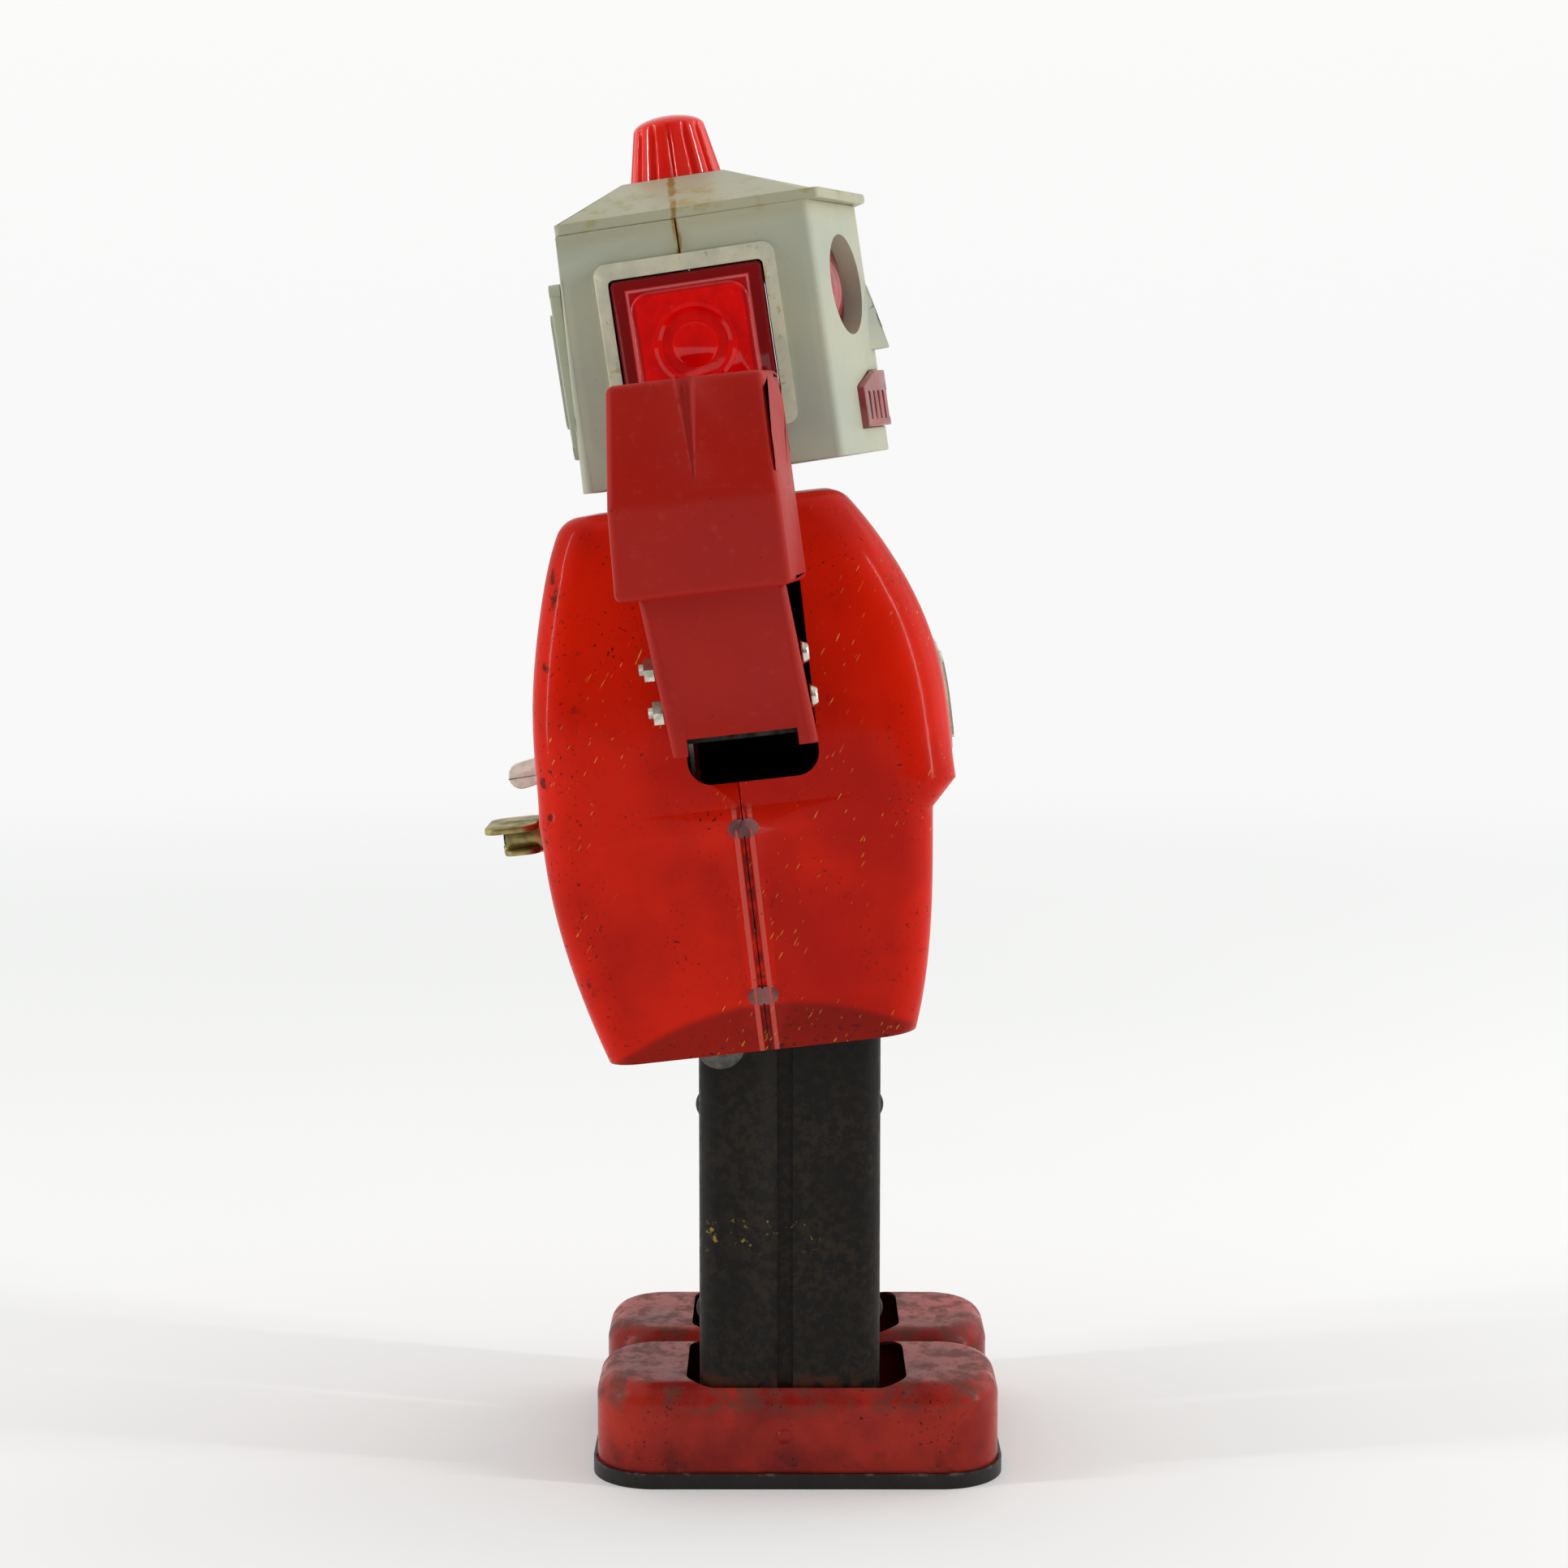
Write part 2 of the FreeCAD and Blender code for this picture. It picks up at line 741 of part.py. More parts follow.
def head_solid(name, grow, low="0", high="head_tall"):
    """The head's walls as a solid block between two heights, its back leaning in towards the top."""
    body = new_body(name + "_block")
    sketch = outline(body, name + "_plan", head_points(grow, "head_back_low"), offset=low)
    pad(body, sketch, f"({high}) - ({low})")
    round_edges(body, name + "_corners", f"head_round + ({grow})", lambda e: upright(e) and abs(e.BoundBox.Center.x) > 5)
    waste = box(name + "_waste", ("200", "40", "200"), ("0", "20", "-100"))
    slope = "atan((head_back_low - head_back_high) / head_tall)"
    return cut(name, body, turned(name + "_back", waste, (1, 0, 0), slope, ("0", f"head_back_low + ({grow})", "0")))


def side_panel(name, wide, tall, corner, start, length):
    """A rounded block standing on the head's right wall, centred on the side panel."""
    return prism(
        name,
        f"-0.5 - ({wide}) / 2",
        f"-0.5 + ({wide}) / 2",
        f"panel_up - ({tall}) / 2",
        f"panel_up + ({tall}) / 2",
        corner,
        start,
        length,
        "YZ_Plane",
    )


def eye_rod(name, radius, depth, length):
    """A rod square to the right face of the prow on the eye's axis, from a depth inwards."""
    plain = rod(name + "_rod", radius, length, ("0", depth, "0"), "y")
    face = "-(head_deep + prow) + eye_out * prow / head_half"
    return turned(name, plain, (0, 0, 1), "-atan(prow / head_half)", ("-eye_out", face, "eye_up"))


def nose():
    body = new_body("nose")
    ridge = "-(head_deep + prow)"
    low = [("-nose_half", f"{ridge} + 3"), ("0", f"{ridge} - nose_reach"), ("nose_half", f"{ridge} + 3")]
    high = [("-0.6", f"{ridge} + 1.5"), ("0", f"{ridge} - 0.1"), ("0.6", f"{ridge} + 1.5")]
    sections = [
        outline(body, "nose_low", low, offset="nose_bottom"),
        outline(body, "nose_high", high, offset="nose_top"),
    ]
    loft(body, "nose_wedge", sections, ruled=True)
    return body


def mouth_block(name, grow):
    points = [
        (f"-mouth_half - ({grow})", f"mouth_bottom - ({grow})"),
        (f"mouth_half + ({grow})", f"mouth_bottom - ({grow})"),
        (f"mouth_half + ({grow})", f"mouth_bottom + mouth_side + ({grow})"),
        (f"mouth_half * 0.42 + ({grow})", f"mouth_bottom + mouth_tall + ({grow})"),
        (f"-mouth_half * 0.42 - ({grow})", f"mouth_bottom + mouth_tall + ({grow})"),
        (f"-mouth_half - ({grow})", f"mouth_bottom + mouth_side + ({grow})"),
    ]
    return disc_prism(name, points, "head_deep - 6", "prow + 20", "XZ_Plane")


def head():
    """Two plastic halves glued at the middle of the side walls, a roof with a brim, and fitted lenses."""
    outer = head_solid("head_outer", "0")
    inner = head_solid("head_inner", "-plastic", "plastic", "head_tall + 1")
    panel_hole = side_panel("panel_hole", "lens_side + 1.4", "lens_side", "1.5", "-head_half - 5", "15")
    eye_hole = eye_rod("eye_hole", "eye_radius", "-20", "40")
    eye_cup = eye_rod("eye_cup", "eye_radius + 1.4", "0.4", "eye_tube - 0.4")
    cups = fuse("eye_cups", eye_cup, mirrored("eye_cup_left", eye_cup))
    back_hole = prism(
        "back_panel_hole", "-14", "14", "panel_up - 14", "panel_up + 14", "2", "-head_back_low - 8", "20", "XZ_Plane"
    )
    mouth_hole = mouth_block("mouth_hole", "0")
    neck_hole = rod("head_neck_hole", "neck_radius - 3 + running", "6", ("0", "0", "-2"))
    holes = [panel_hole, mirrored("panel_hole_left", panel_hole), eye_hole, mirrored("eye_hole_left", eye_hole)]
    walls = cut("head_walls", outer, inner)
    skin = cut("head_skin", fuse("head_whole", walls, cups, cut("nose_cut", nose(), inner)), *holes, mouth_hole, neck_hole, back_hole)
    front = box("head_front_space", ("200", "200", "200"), ("0", "-100 - 0.1", "-50"))
    back = box("head_back_space", ("200", "200", "200"), ("0", "100 + 0.1", "-50"))
    node("head_front_shell", "head", common("head_front", skin, front))
    node("head_back_shell", "head", common("head_back", skin, back))

    mouth_outer = head_solid("mouth_outer", "lip", "-2", "head_tall")
    mouth_line = mouth_block("mouth_line", "-0.05")
    slots = [
        box(f"mouth_slot{i}", ("1.1", "prow + 8", "mouth_side - 2.6"), (f"{x} * 3.3", "-(head_deep + prow + 4)", "mouth_bottom + 1.6"))
        for i, x in enumerate(range(-4, 5))
    ]
    grille = cut("mouth_solid", common("mouth_block", mouth_line, mouth_outer), inner)
    mouth_face = head_solid("mouth_face", "0.2", "-2", "head_tall")
    bars = [cut(f"mouth_groove{i}", slot, mouth_face) for i, slot in enumerate(slots)]
    node("mouth_grille", "head", cut("mouth_cut", grille, *bars))

    rim = cut(
        "ear_rim",
        side_panel("ear_outer", "panel_side", "panel_side", "2.5", "-head_half - panel_rise", "panel_rise"),
        side_panel("ear_inner", "lens_side + 0.6", "lens_side - 0.8", "1.2", "-head_half - 10", "20"),
    )
    sleeve = cut(
        "ear_sleeve",
        side_panel("ear_sleeve_out", "lens_side + 1.3", "lens_side - 0.1", "1.4", "-head_half - 0.1", "plastic + 0.3"),
        side_panel("ear_sleeve_in", "lens_side + 0.6", "lens_side - 0.8", "1.2", "-head_half - 10", "20"),
    )
    both_sides("ear_frame_{}", "head", lambda: fuse("ear_frame", rim, sleeve))
    steps = [
        side_panel("lens_base", "lens_side + 0.3", "lens_side - 1.1", "1.1", "-head_half - 0.4", "plastic + 0.6"),
        side_panel("lens_mid", "lens_side - 4", "lens_side - 5.4", "2", "-head_half - 1.6", "1.3"),
        side_panel("lens_top", "26", "25", "4", "-head_half - lens_step", "1.6"),
    ]
    dish = tube("lens_dish", "lens_ring + 0.6", "lens_ring - 0.6", "2", ("-head_half - lens_step - 1.4", "0.4", "panel_up + 0.9"), "x")
    well = rod("lens_well", "4.6", "0.9", ("-head_half - lens_step - 0.1", "0.4", "panel_up + 0.9"), "x")
    both_sides("ear_lens_{}", "head", lambda: cut("ear_lens", fuse("lens_steps", *steps), dish, well))

    lens = fuse(
        "eye_solid",
        eye_rod("eye_disc", "eye_radius + 1.4", "eye_tube", "1.6"),
        eye_rod("eye_plug", "eye_radius - 0.1", "eye_tube - 1.2", "1.6"),
        common(
            "eye_dome",
            eye_rod("eye_dome_edge", "eye_radius - 0.9", "eye_tube - 5.0", "6"),
            turned(
                "eye_ball",
                ball("eye_ball_round", "14.5", ("0", "eye_tube + 10.6", "0")),
                (0, 0, 1),
                "-atan(prow / head_half)",
                ("-eye_out", "-(head_deep + prow) + eye_out * prow / head_half", "eye_up"),
            ),
        ),
    )
    trim = box("eye_trim", ("40", "80", "80"), ("-20.3", "-30", "0"))
    both_sides("eye_lens_{}", "head", lambda: common("eye_lens", lens, trim))

    panel = fuse(
        "back_panel",
        prism("back_panel_out", "-19", "19", "panel_up - 20", "panel_up + 18", "3", "-head_back_low - 1.6", "2.4", "XZ_Plane"),
        prism("back_panel_mid", "-13", "13", "panel_up - 13", "panel_up + 12", "3", "-head_back_low - 2.6", "6", "XZ_Plane"),
    )
    node("head_back_panel", "head", cut("back_panel_cut", panel, head_solid("back_panel_bed", "0", "-1", "head_tall")))
    roof()
    collar = fuse(
        "collar_solid",
        rod("collar_flange", "neck_radius + 3.2", "1.5", ("0", "0", "-neck_drop")),
        rod("collar_barrel", "neck_radius", "neck_drop - 0.3", ("0", "0", "-neck_drop")),
        rod("collar_spigot", "neck_radius - 3", "plastic + 2", ("0", "0", "-1")),
        rod("collar_lip", "neck_radius - 2", "1.4", ("0", "0", "plastic + 0.35")),
    )
    node("neck_collar", "head", cut("collar_cut", collar, rod("collar_bore", "10", "30", ("0", "0", "-20"))))


def roof():
    """The low hipped roof with its brim, and the fluted beacon on top."""

    def hip(name, grow, low, high, small):
        body = new_body(name)
        top = [
            (f"-({small})", f"-beacon_ahead - ({small}) * 0.9"),
            ("0", f"-beacon_ahead - ({small}) * 1.15"),
            (small, f"-beacon_ahead - ({small}) * 0.9"),
            (small, f"-beacon_ahead + ({small})"),
            (f"-({small})", f"-beacon_ahead + ({small})"),
        ]
        sections = [
            outline(body, name + "_low", head_points(grow, "head_back_high"), offset=low),
            outline(body, name + "_top", top, offset=high),
        ]
        loft(body, name + "_slopes", sections, ruled=True)
        return body

    crown = "head_tall + roof_rise + brim_thick - 0.5"
    brim = new_body("brim")
    pad(brim, outline(brim, "brim_plan", head_points("0", "head_back_high", "brim_reach"), offset="head_tall"), "brim_thick")
    doc.recompute()
    round_edges(brim, "brim_corners", "1.4", lambda e: upright(e) and abs(e.BoundBox.Center.x) > 5)
    peak = hip("roof_peak", "-0.2", "head_tall + brim_thick - 0.1", crown, "roof_half")
    hollow = hip("roof_hollow", "-plastic - 0.4", "head_tall - 0.1", f"{crown} - plastic", "roof_half - 1.2")
    light = rod("roof_light", "beacon_top - 1.0", "20", ("0", "-beacon_ahead", f"{crown} - 10"))
    node("head_roof", "head", cut("roof_cut", fuse("roof_solid", brim, peak), hollow, light))

    cone = taper("beacon_cone", "beacon_base", "beacon_top", "beacon_tall", ("0", "-beacon_ahead", crown))
    curve = "((beacon_top ^ 2 + beacon_dome ^ 2) / (2 * beacon_dome))"
    dome = common(
        "beacon_cap",
        ball("beacon_ball", curve, ("0", "-beacon_ahead", f"{crown} + beacon_tall + beacon_dome - {curve}")),
        rod("beacon_post", "beacon_top", "beacon_dome + 2", ("0", "-beacon_ahead", f"{crown} + beacon_tall - 1")),
    )
    flute = rod("beacon_flute", "0.7", "beacon_tall * 1.2", ("0", "0", "-0.5"))
    leaned = turned("beacon_flute_leaned", flute, (0, -1, 0), "atan((beacon_base - beacon_top) / beacon_tall)", ("beacon_base + 0.25", "0", "0"))
    flutes = [
        turned(f"beacon_flute{i}", leaned, (0, 0, 1), f"{i} * 30", ("0", "-beacon_ahead", crown))
        for i in range(12)
    ]
    inside = taper("beacon_inside", "beacon_base - 1.8", "beacon_top - 1.8", "beacon_tall - 0.5", ("0", "-beacon_ahead", f"{crown} - 0.01"))
    node("beacon", "head", cut("beacon_cut", fuse("beacon_solid", cone, dome), inside, *flutes))


# ---------------------------------------------------------------- arms
def skewed(body, name, inner, outer, front_in, front_out, back, height):
    """One four-sided section of an arm or a hand on the robot's right."""
    points = [(f"-({outer})", front_out), (f"-({inner})", front_in), (f"-({inner})", back), (f"-({outer})", back)]
    return outline(body, name, points, offset=height)


def arm():
    """One raised arm: a hollow moulding screwed to a steel bracket that swings on a pin in the chest."""
    low = "arm_in + arm_thick"
    rise = "tan(arm_splay) * (arm_top - arm_bottom)"

    def forearm(name, grow, ends):
        body = new_body(name)
        sections = [
            skewed(
                body,
                f"{name}_{word}",
                f"arm_in + ({shift}) - ({grow})",
                f"{low} + ({shift}) + ({grow})",
                f"{middle} - arm_half - ({grow})",
                f"{middle} - arm_half - ({grow})",
                f"{middle} + arm_half + ({grow})",
                f"{height} {end}",
            )
            for word, shift, middle, height, end in (
                ("low", "0", "arm_back_low", "arm_bottom", ends[0]),
                ("high", rise, "arm_back_high", "arm_top", ends[1]),
            )
        ]
        loft(body, name + "_walls", sections, ruled=True)
        return body

    def palm(name, grow, floor, lid):
        body = new_body(name)
        wide = [
            ("wrist", "62.6", "82.6", "hand_back - hand_half", "hand_half", f"arm_top + ({floor})"),
            ("bulge", "58.6", "hand_out", "hand_back - 0.6 - (hand_half + hand_tip_half) / 2", "hand_half - 0.9", "hand_bulge"),
            ("tip", "66", "hand_out_top", "hand_back - hand_tip_half - 0.9", "hand_tip_half - 0.9", f"hand_top - ({lid})"),
        ]
        sections = [
            skewed(
                body,
                f"{name}_{word}",
                f"{inner} - ({grow})",
                f"{outer} + ({grow})",
                f"{front} - 3.4 - ({grow})",
                f"{front} - ({grow})",
                f"hand_back + {back} + ({grow})",
                height,
            )
            for word, inner, outer, front, back, height in wide
        ]
        loft(body, name + "_walls", sections, ruled=True)
        return body

    outer = forearm("arm_outer", "0", ("", ""))
    hand = palm("hand_outer", "0", "0", "0")
    core = forearm("arm_inner", "-arm_wall", ("- 0.01", "+ 2"))
    hollow = palm("hand_inner", "-arm_wall", "arm_wall", "arm_wall")
    middle = "(arm_back_low + 0.4)"
    notch = box("arm_notch", ("40", "arm_half * 2 - 7", "6"), ("-arm_in - 12", middle, "arm_bottom - 2.5"))
    mouth = box("arm_mouth", ("12", "arm_half * 2 - 4.4", "28"), ("-arm_in - 1", middle, "arm_bottom - 1"))
    # the flute runs down the outside of the hand, deepest at its top
    flute = taper("hand_flute", "0.2", "flute_radius", "hand_top - hand_bulge", ("0", "0", "0"))
    lean = "atan((hand_out - hand_out_top - 1.6) / (hand_top - hand_bulge))"
    flute_at = ("-hand_out + 0.52", "hand_back - 0.9", "hand_bulge + 2.5")
    groove = turned("hand_groove", flute, (0, 1, 0), lean, flute_at)
    screw_spots = [("low", "arm_in + 10.6", "arm_screw_low"), ("high", "arm_in + 11.8", "(arm_screw_low + arm_screw_pitch)")]

    def leaning(z):
        return f"(arm_back_low + (arm_back_high - arm_back_low) * (({z}) - arm_bottom) / (arm_top - arm_bottom))"

    screw_holes = [
        rod(f"arm_hole_{word}", "arm_screw_radius + 0.05", "50", (f"-({x})", "-25", z), "y") for word, x, z in screw_spots
    ]
    shell = cut("arm_shell", fuse("arm_solid", outer, hand), core, hollow, notch, mouth, groove, *screw_holes)

    screws, nuts = [], []
    for word, x, z in screw_spots:
        front = f"({leaning(z + ' - arm_head_radius')} - arm_half - running - 1.5)"
        back = f"({leaning(z + ' + arm_nut_radius')} + arm_half + running)"
        head = taper(f"screw_head_{word}", "arm_head_radius * 0.72", "arm_head_radius", "1.5", (f"-({x})", front, z), "y")
        cross = fuse(
            f"screw_cross_{word}",
            box(f"screw_slot_a_{word}", ("2.6", "1.4", "0.5"), (f"-({x})", front, f"{z} - 0.25")),
            box(f"screw_slot_b_{word}", ("0.5", "1.4", "2.6"), (f"-({x})", front, f"{z} - 1.3")),
        )
        stem = rod(f"screw_stem_{word}", "arm_screw_radius", f"{back} - {front} + 2", (f"-({x})", f"{front} + 1.0", z), "y")
        screws.append(fuse(f"screw_{word}", cut(f"screw_top_{word}", head, cross), stem))
        nut = doc.addObject("Part::Prism", f"nut_{word}")
        nut.Placement = Placement(Vector(), TURNS["y"])
        bind(nut, {"Polygon": "6", "Circumradius": "arm_nut_radius", "Height": "2"})
        at(nut, (f"-({x})", back, z))
        nuts.append(cut(f"nut_bored_{word}", nut, rod(f"nut_bore_{word}", "arm_screw_radius", "9", (f"-({x})", back, z), "y")))

    cheek_points = [
        ("-pin_out + 2", "pin_up - 3.5"),
        ("-pin_out - 12", "pin_up - bracket_tall / 2"),
        ("-arm_in - 14.6", "pin_up - bracket_tall / 2"),
        ("-arm_in - 15.4", "pin_up + bracket_tall / 2"),
        ("-pin_out - 12", "pin_up + bracket_tall / 2"),
        ("-pin_out + 2", "pin_up + 3.5"),
    ]
    deep = "(slot_wide - bracket_room)"
    half = f"{deep} / 2"
    hubs, cheeks = [], []
    for word, y in (("front", f"-0.6 - {half}"), ("back", f"-0.6 + {half} - plate")):
        flat = disc_prism(f"cheek_{word}", cheek_points, f"-({y}) - plate", "plate", "XZ_Plane")
        cheeks.append(flat)
        hubs.append(rod(f"hub_{word}", "hub_radius + 0.6", "plate", ("-pin_out", y, "pin_up"), "y"))
    web = box("bracket_web", ("22", deep, "plate"), ("-arm_in + 9", "-0.6", "pin_up - plate / 2"))
    sleeve = rod("bracket_sleeve", "hub_radius", deep, ("-pin_out", f"-0.6 - {half}", "pin_up"), "y")
    bore = rod("bracket_bore", "pin_radius + running", "60", ("-pin_out", "-30", "pin_up"), "y")
    brackets = {}
    for side, phase in (("right", "0"), ("left", "7.5")):
        wheel_at = ("-pin_out", f"-0.6 - {half} + plate + 0.6", "pin_up")
        wheel = gear(f"sector_{side}", "pin_out", 24, "1.57", "2.4", wheel_at, "1", "y", phase)
        solid = fuse(f"bracket_solid_{side}", *cheeks, *hubs, web, sleeve, wheel)
        brackets[side] = cut(f"bracket_{side}_cut", solid, bore, *screw_holes)
    pin = rod("arm_pin", "pin_radius", f"{deep} + 5.4", ("-pin_out", f"-0.6 - {half} - 2.7", "pin_up"), "y")

    for side, flip in (("right", lambda p: p), ("left", lambda p: mirrored(p.Name + "_mirror", p))):
        node(f"arm_shell_{side}", "torso", flip(shell))
        node(f"arm_bracket_{side}", "torso", flip(brackets[side]))
        node(f"arm_screws_{side}", "torso", *(flip(p) for p in screws + nuts))
    node("arm_pins", "torso", pin, mirrored("arm_pin_left", pin))


# ---------------------------------------------------------------- legs and feet
def leg():
    """One tin leg with a pressed groove down its sides, and the pieces that fix it at hip and ankle."""

    def column(name, grow, ends):
        return prism(
            name,
            f"-leg_out - leg_half - ({grow})",
            f"-leg_out + leg_half + ({grow})",
            f"-leg_ahead - leg_deep - ({grow})",
            f"-leg_ahead + leg_deep + ({grow})",
            f"leg_corner + ({grow})",
            f"leg_bottom - {ends}",
            f"leg_top - leg_bottom + 2 * {ends}",
        )

    def grooves(name, grow):
        return [
            box(
                f"{name}_{word}",
                ("4 * groove_deep", f"groove_wide + 2 * ({grow})", "leg_top"),
                (f"-leg_out + ({sign}) * (leg_half - groove_deep + 2 * groove_deep - ({grow}))", "-leg_ahead + 1", "leg_bottom - 5"),
            )
            for word, sign in (("outside", "-1"), ("inside", "1"))
        ]

    outer = cut("leg_form", column("leg_outer", "0", "0"), *grooves("groove", "0"))
    inner = cut("leg_core", column("leg_inner", "-tin", "1"), *grooves("rib", "tin"))
    hip = rod("leg_hip_hole", "hip_pin_radius + running", "80", ("-60", "0", "hip_pin"), "x")
    ankle = rod("leg_ankle_hole", "hip_pin_radius + running", "80", ("-60", "0", "ankle_pin"), "x")
    studs = []
    for i, height in enumerate(("stud_low", "stud_high")):
        for word, y, sign in (("front", "-leg_ahead - leg_deep", -1), ("back", "-leg_ahead + leg_deep", 1)):
            dome = ball(f"leg_dome_{word}{i}", "leg_stud_radius * 1.5", ("-leg_out", f"{y} - ({sign}) * (leg_stud_radius * 1.5 - 1)", height))
            outside = box(
                f"leg_dome_half_{word}{i}", ("20", "6", "20"), ("-leg_out", f"{y} + ({sign}) * 3", f"{height} - 10")
            )
            studs.append(common(f"leg_stud_{word}{i}", dome, outside))
    shell = cut("leg_shell", fuse("leg_pressed", outer, *studs), inner, hip, ankle)
    lever_points = [
        ("5.6", "leg_top - 13"),
        ("fork_ahead + 7.6", "fork_height - 6"),
        ("fork_ahead + 7.6", "fork_height + 6"),
        ("fork_ahead - 7.6", "fork_height + 6"),
        ("fork_ahead - 7.6", "fork_height - 6"),
        ("-5.6", "leg_top - 13"),
    ]
    lever_blank = disc_prism("lever_blank", lever_points, "-leg_out - leg_half + 5.4", "plate", "YZ_Plane")
    window = box("lever_window", ("20", "10.8", "20"), ("-leg_out - leg_half + 5", "fork_ahead", "fork_height - 4.8"))
    flange = "5.4 + plate - groove_deep - tin"
    foot_of_lever = box("lever_flange", (flange, "11.2", "plate"), (f"-leg_out - leg_half + 5.4 + plate - ({flange}) / 2", "0", "leg_top - 13"))
    lever = cut("leg_lever", fuse("lever_solid", lever_blank, foot_of_lever), window, hip)
    for side, flip in (("right", lambda p: p), ("left", lambda p: mirrored(p.Name + "_mirror", p))):
        node(f"leg_shell_{side}", "floor", flip(shell))
        node(f"leg_lever_{side}", "floor", flip(lever))


def foot():
    """One tin foot over a black sole plate, with two free rollers and the pin that the leg rocks on."""

    def shoe(name, grow, bottom, height):
        return prism(
            name,
            f"-leg_out - foot_half - ({grow})",
            f"-leg_out + foot_half + ({grow})",
            f"-foot_toe - ({grow})",
            f"foot_heel + ({grow})",
            f"foot_corner + ({grow})",
            bottom,
            height,
        )

    outer = shoe("shoe_outer", "0", "sole_thick", "foot_top - sole_thick")
    round_edges(outer, "shoe_top", "foot_round", at_height(size("foot_top")))
    inner = shoe("shoe_inner", "-tin", "sole_thick - 1", "foot_top - sole_thick + 1 - tin")
    round_edges(inner, "shoe_top_inner", "foot_round - tin", at_height(size("foot_top") - size("tin")))
    opening = prism(
        "shoe_opening",
        "-leg_out - leg_half - 1.3",
        "-leg_out + leg_half + 1.3",
        "-foot_slot_front",
        "foot_slot_back",
        "leg_corner + 1",
        "foot_top - 8",
        "20",
    )
    pin_hole = rod("shoe_pin_hole", "hip_pin_radius", "80", ("-60", "0", "ankle_pin"), "x")
    shell = cut("foot_shell", outer, inner, opening, pin_hole)

    tray = cut("sole_tray", shoe("sole_outer", "sole_reach", "0", "sole_wall"), shoe("sole_inner", "0.05", "sole_thick", "20"))
    slots, axles, rollers = [], [], []
    ears = []
    for word, y in (("front", "-wheel_spread - 3"), ("rear", "wheel_spread")):
        slots.append(box(f"roller_slot_{word}", ("wheel_wide + 1.2", "wheel_radius * 2 + 1", "9"), ("-leg_out", y, "-2")))
        height = "wheel_radius + 0.15"
        axles.append(rod(f"foot_axle_{word}", "axle_radius", "wheel_wide + 6", (f"-leg_out - wheel_wide / 2 - 3", y, height), "x"))
        rollers.append(
            tube(f"roller_{word}", "wheel_radius", "axle_radius + running", "wheel_wide", ("-leg_out - wheel_wide / 2", y, height), "x")
        )
        for tag, sign in (("a", "-1"), ("b", "1")):
            ears.append(
                box(
                    f"ear_{word}_{tag}",
                    ("plate", "6", "wheel_radius + 2.6"),
                    (f"-leg_out + ({sign}) * (wheel_wide / 2 + 0.6 + plate / 2)", y, "sole_thick"),
                )
            )
    floor = box("frame_floor", ("wheel_wide + 7", "wheel_spread * 2 + 3 + 18", "0.8"), ("-leg_out", "-1.5", "sole_thick"))
    holes = [rod(f"frame_hole_{word}", "axle_radius", "40", ("-leg_out - 20", y, "wheel_radius + 0.15"), "x")
             for word, y in (("front", "-wheel_spread - 3"), ("rear", "wheel_spread"))]
    frame = cut("foot_frame", fuse("frame_solid", floor, *ears), *slots, *holes)
    sole = cut("sole", tray, *slots)
    pin = rod("ankle_pin_rod", "hip_pin_radius", "foot_half * 2 + 0.4", ("-leg_out - foot_half - 0.2", "0", "ankle_pin"), "x")
    for side, flip in (("right", lambda p: p), ("left", lambda p: mirrored(p.Name + "_mirror", p))):
        node(f"foot_shell_{side}", "floor", flip(shell))
        node(f"sole_{side}", "floor", flip(sole))
        node(f"foot_frame_{side}", "floor", flip(frame))
        node(f"foot_pins_{side}", "floor", *(flip(p) for p in axles + [pin]))
        node(f"front_roller_{side}", "floor", flip(rollers[0]))
        node(f"rear_roller_{side}", "floor", flip(rollers[1]))


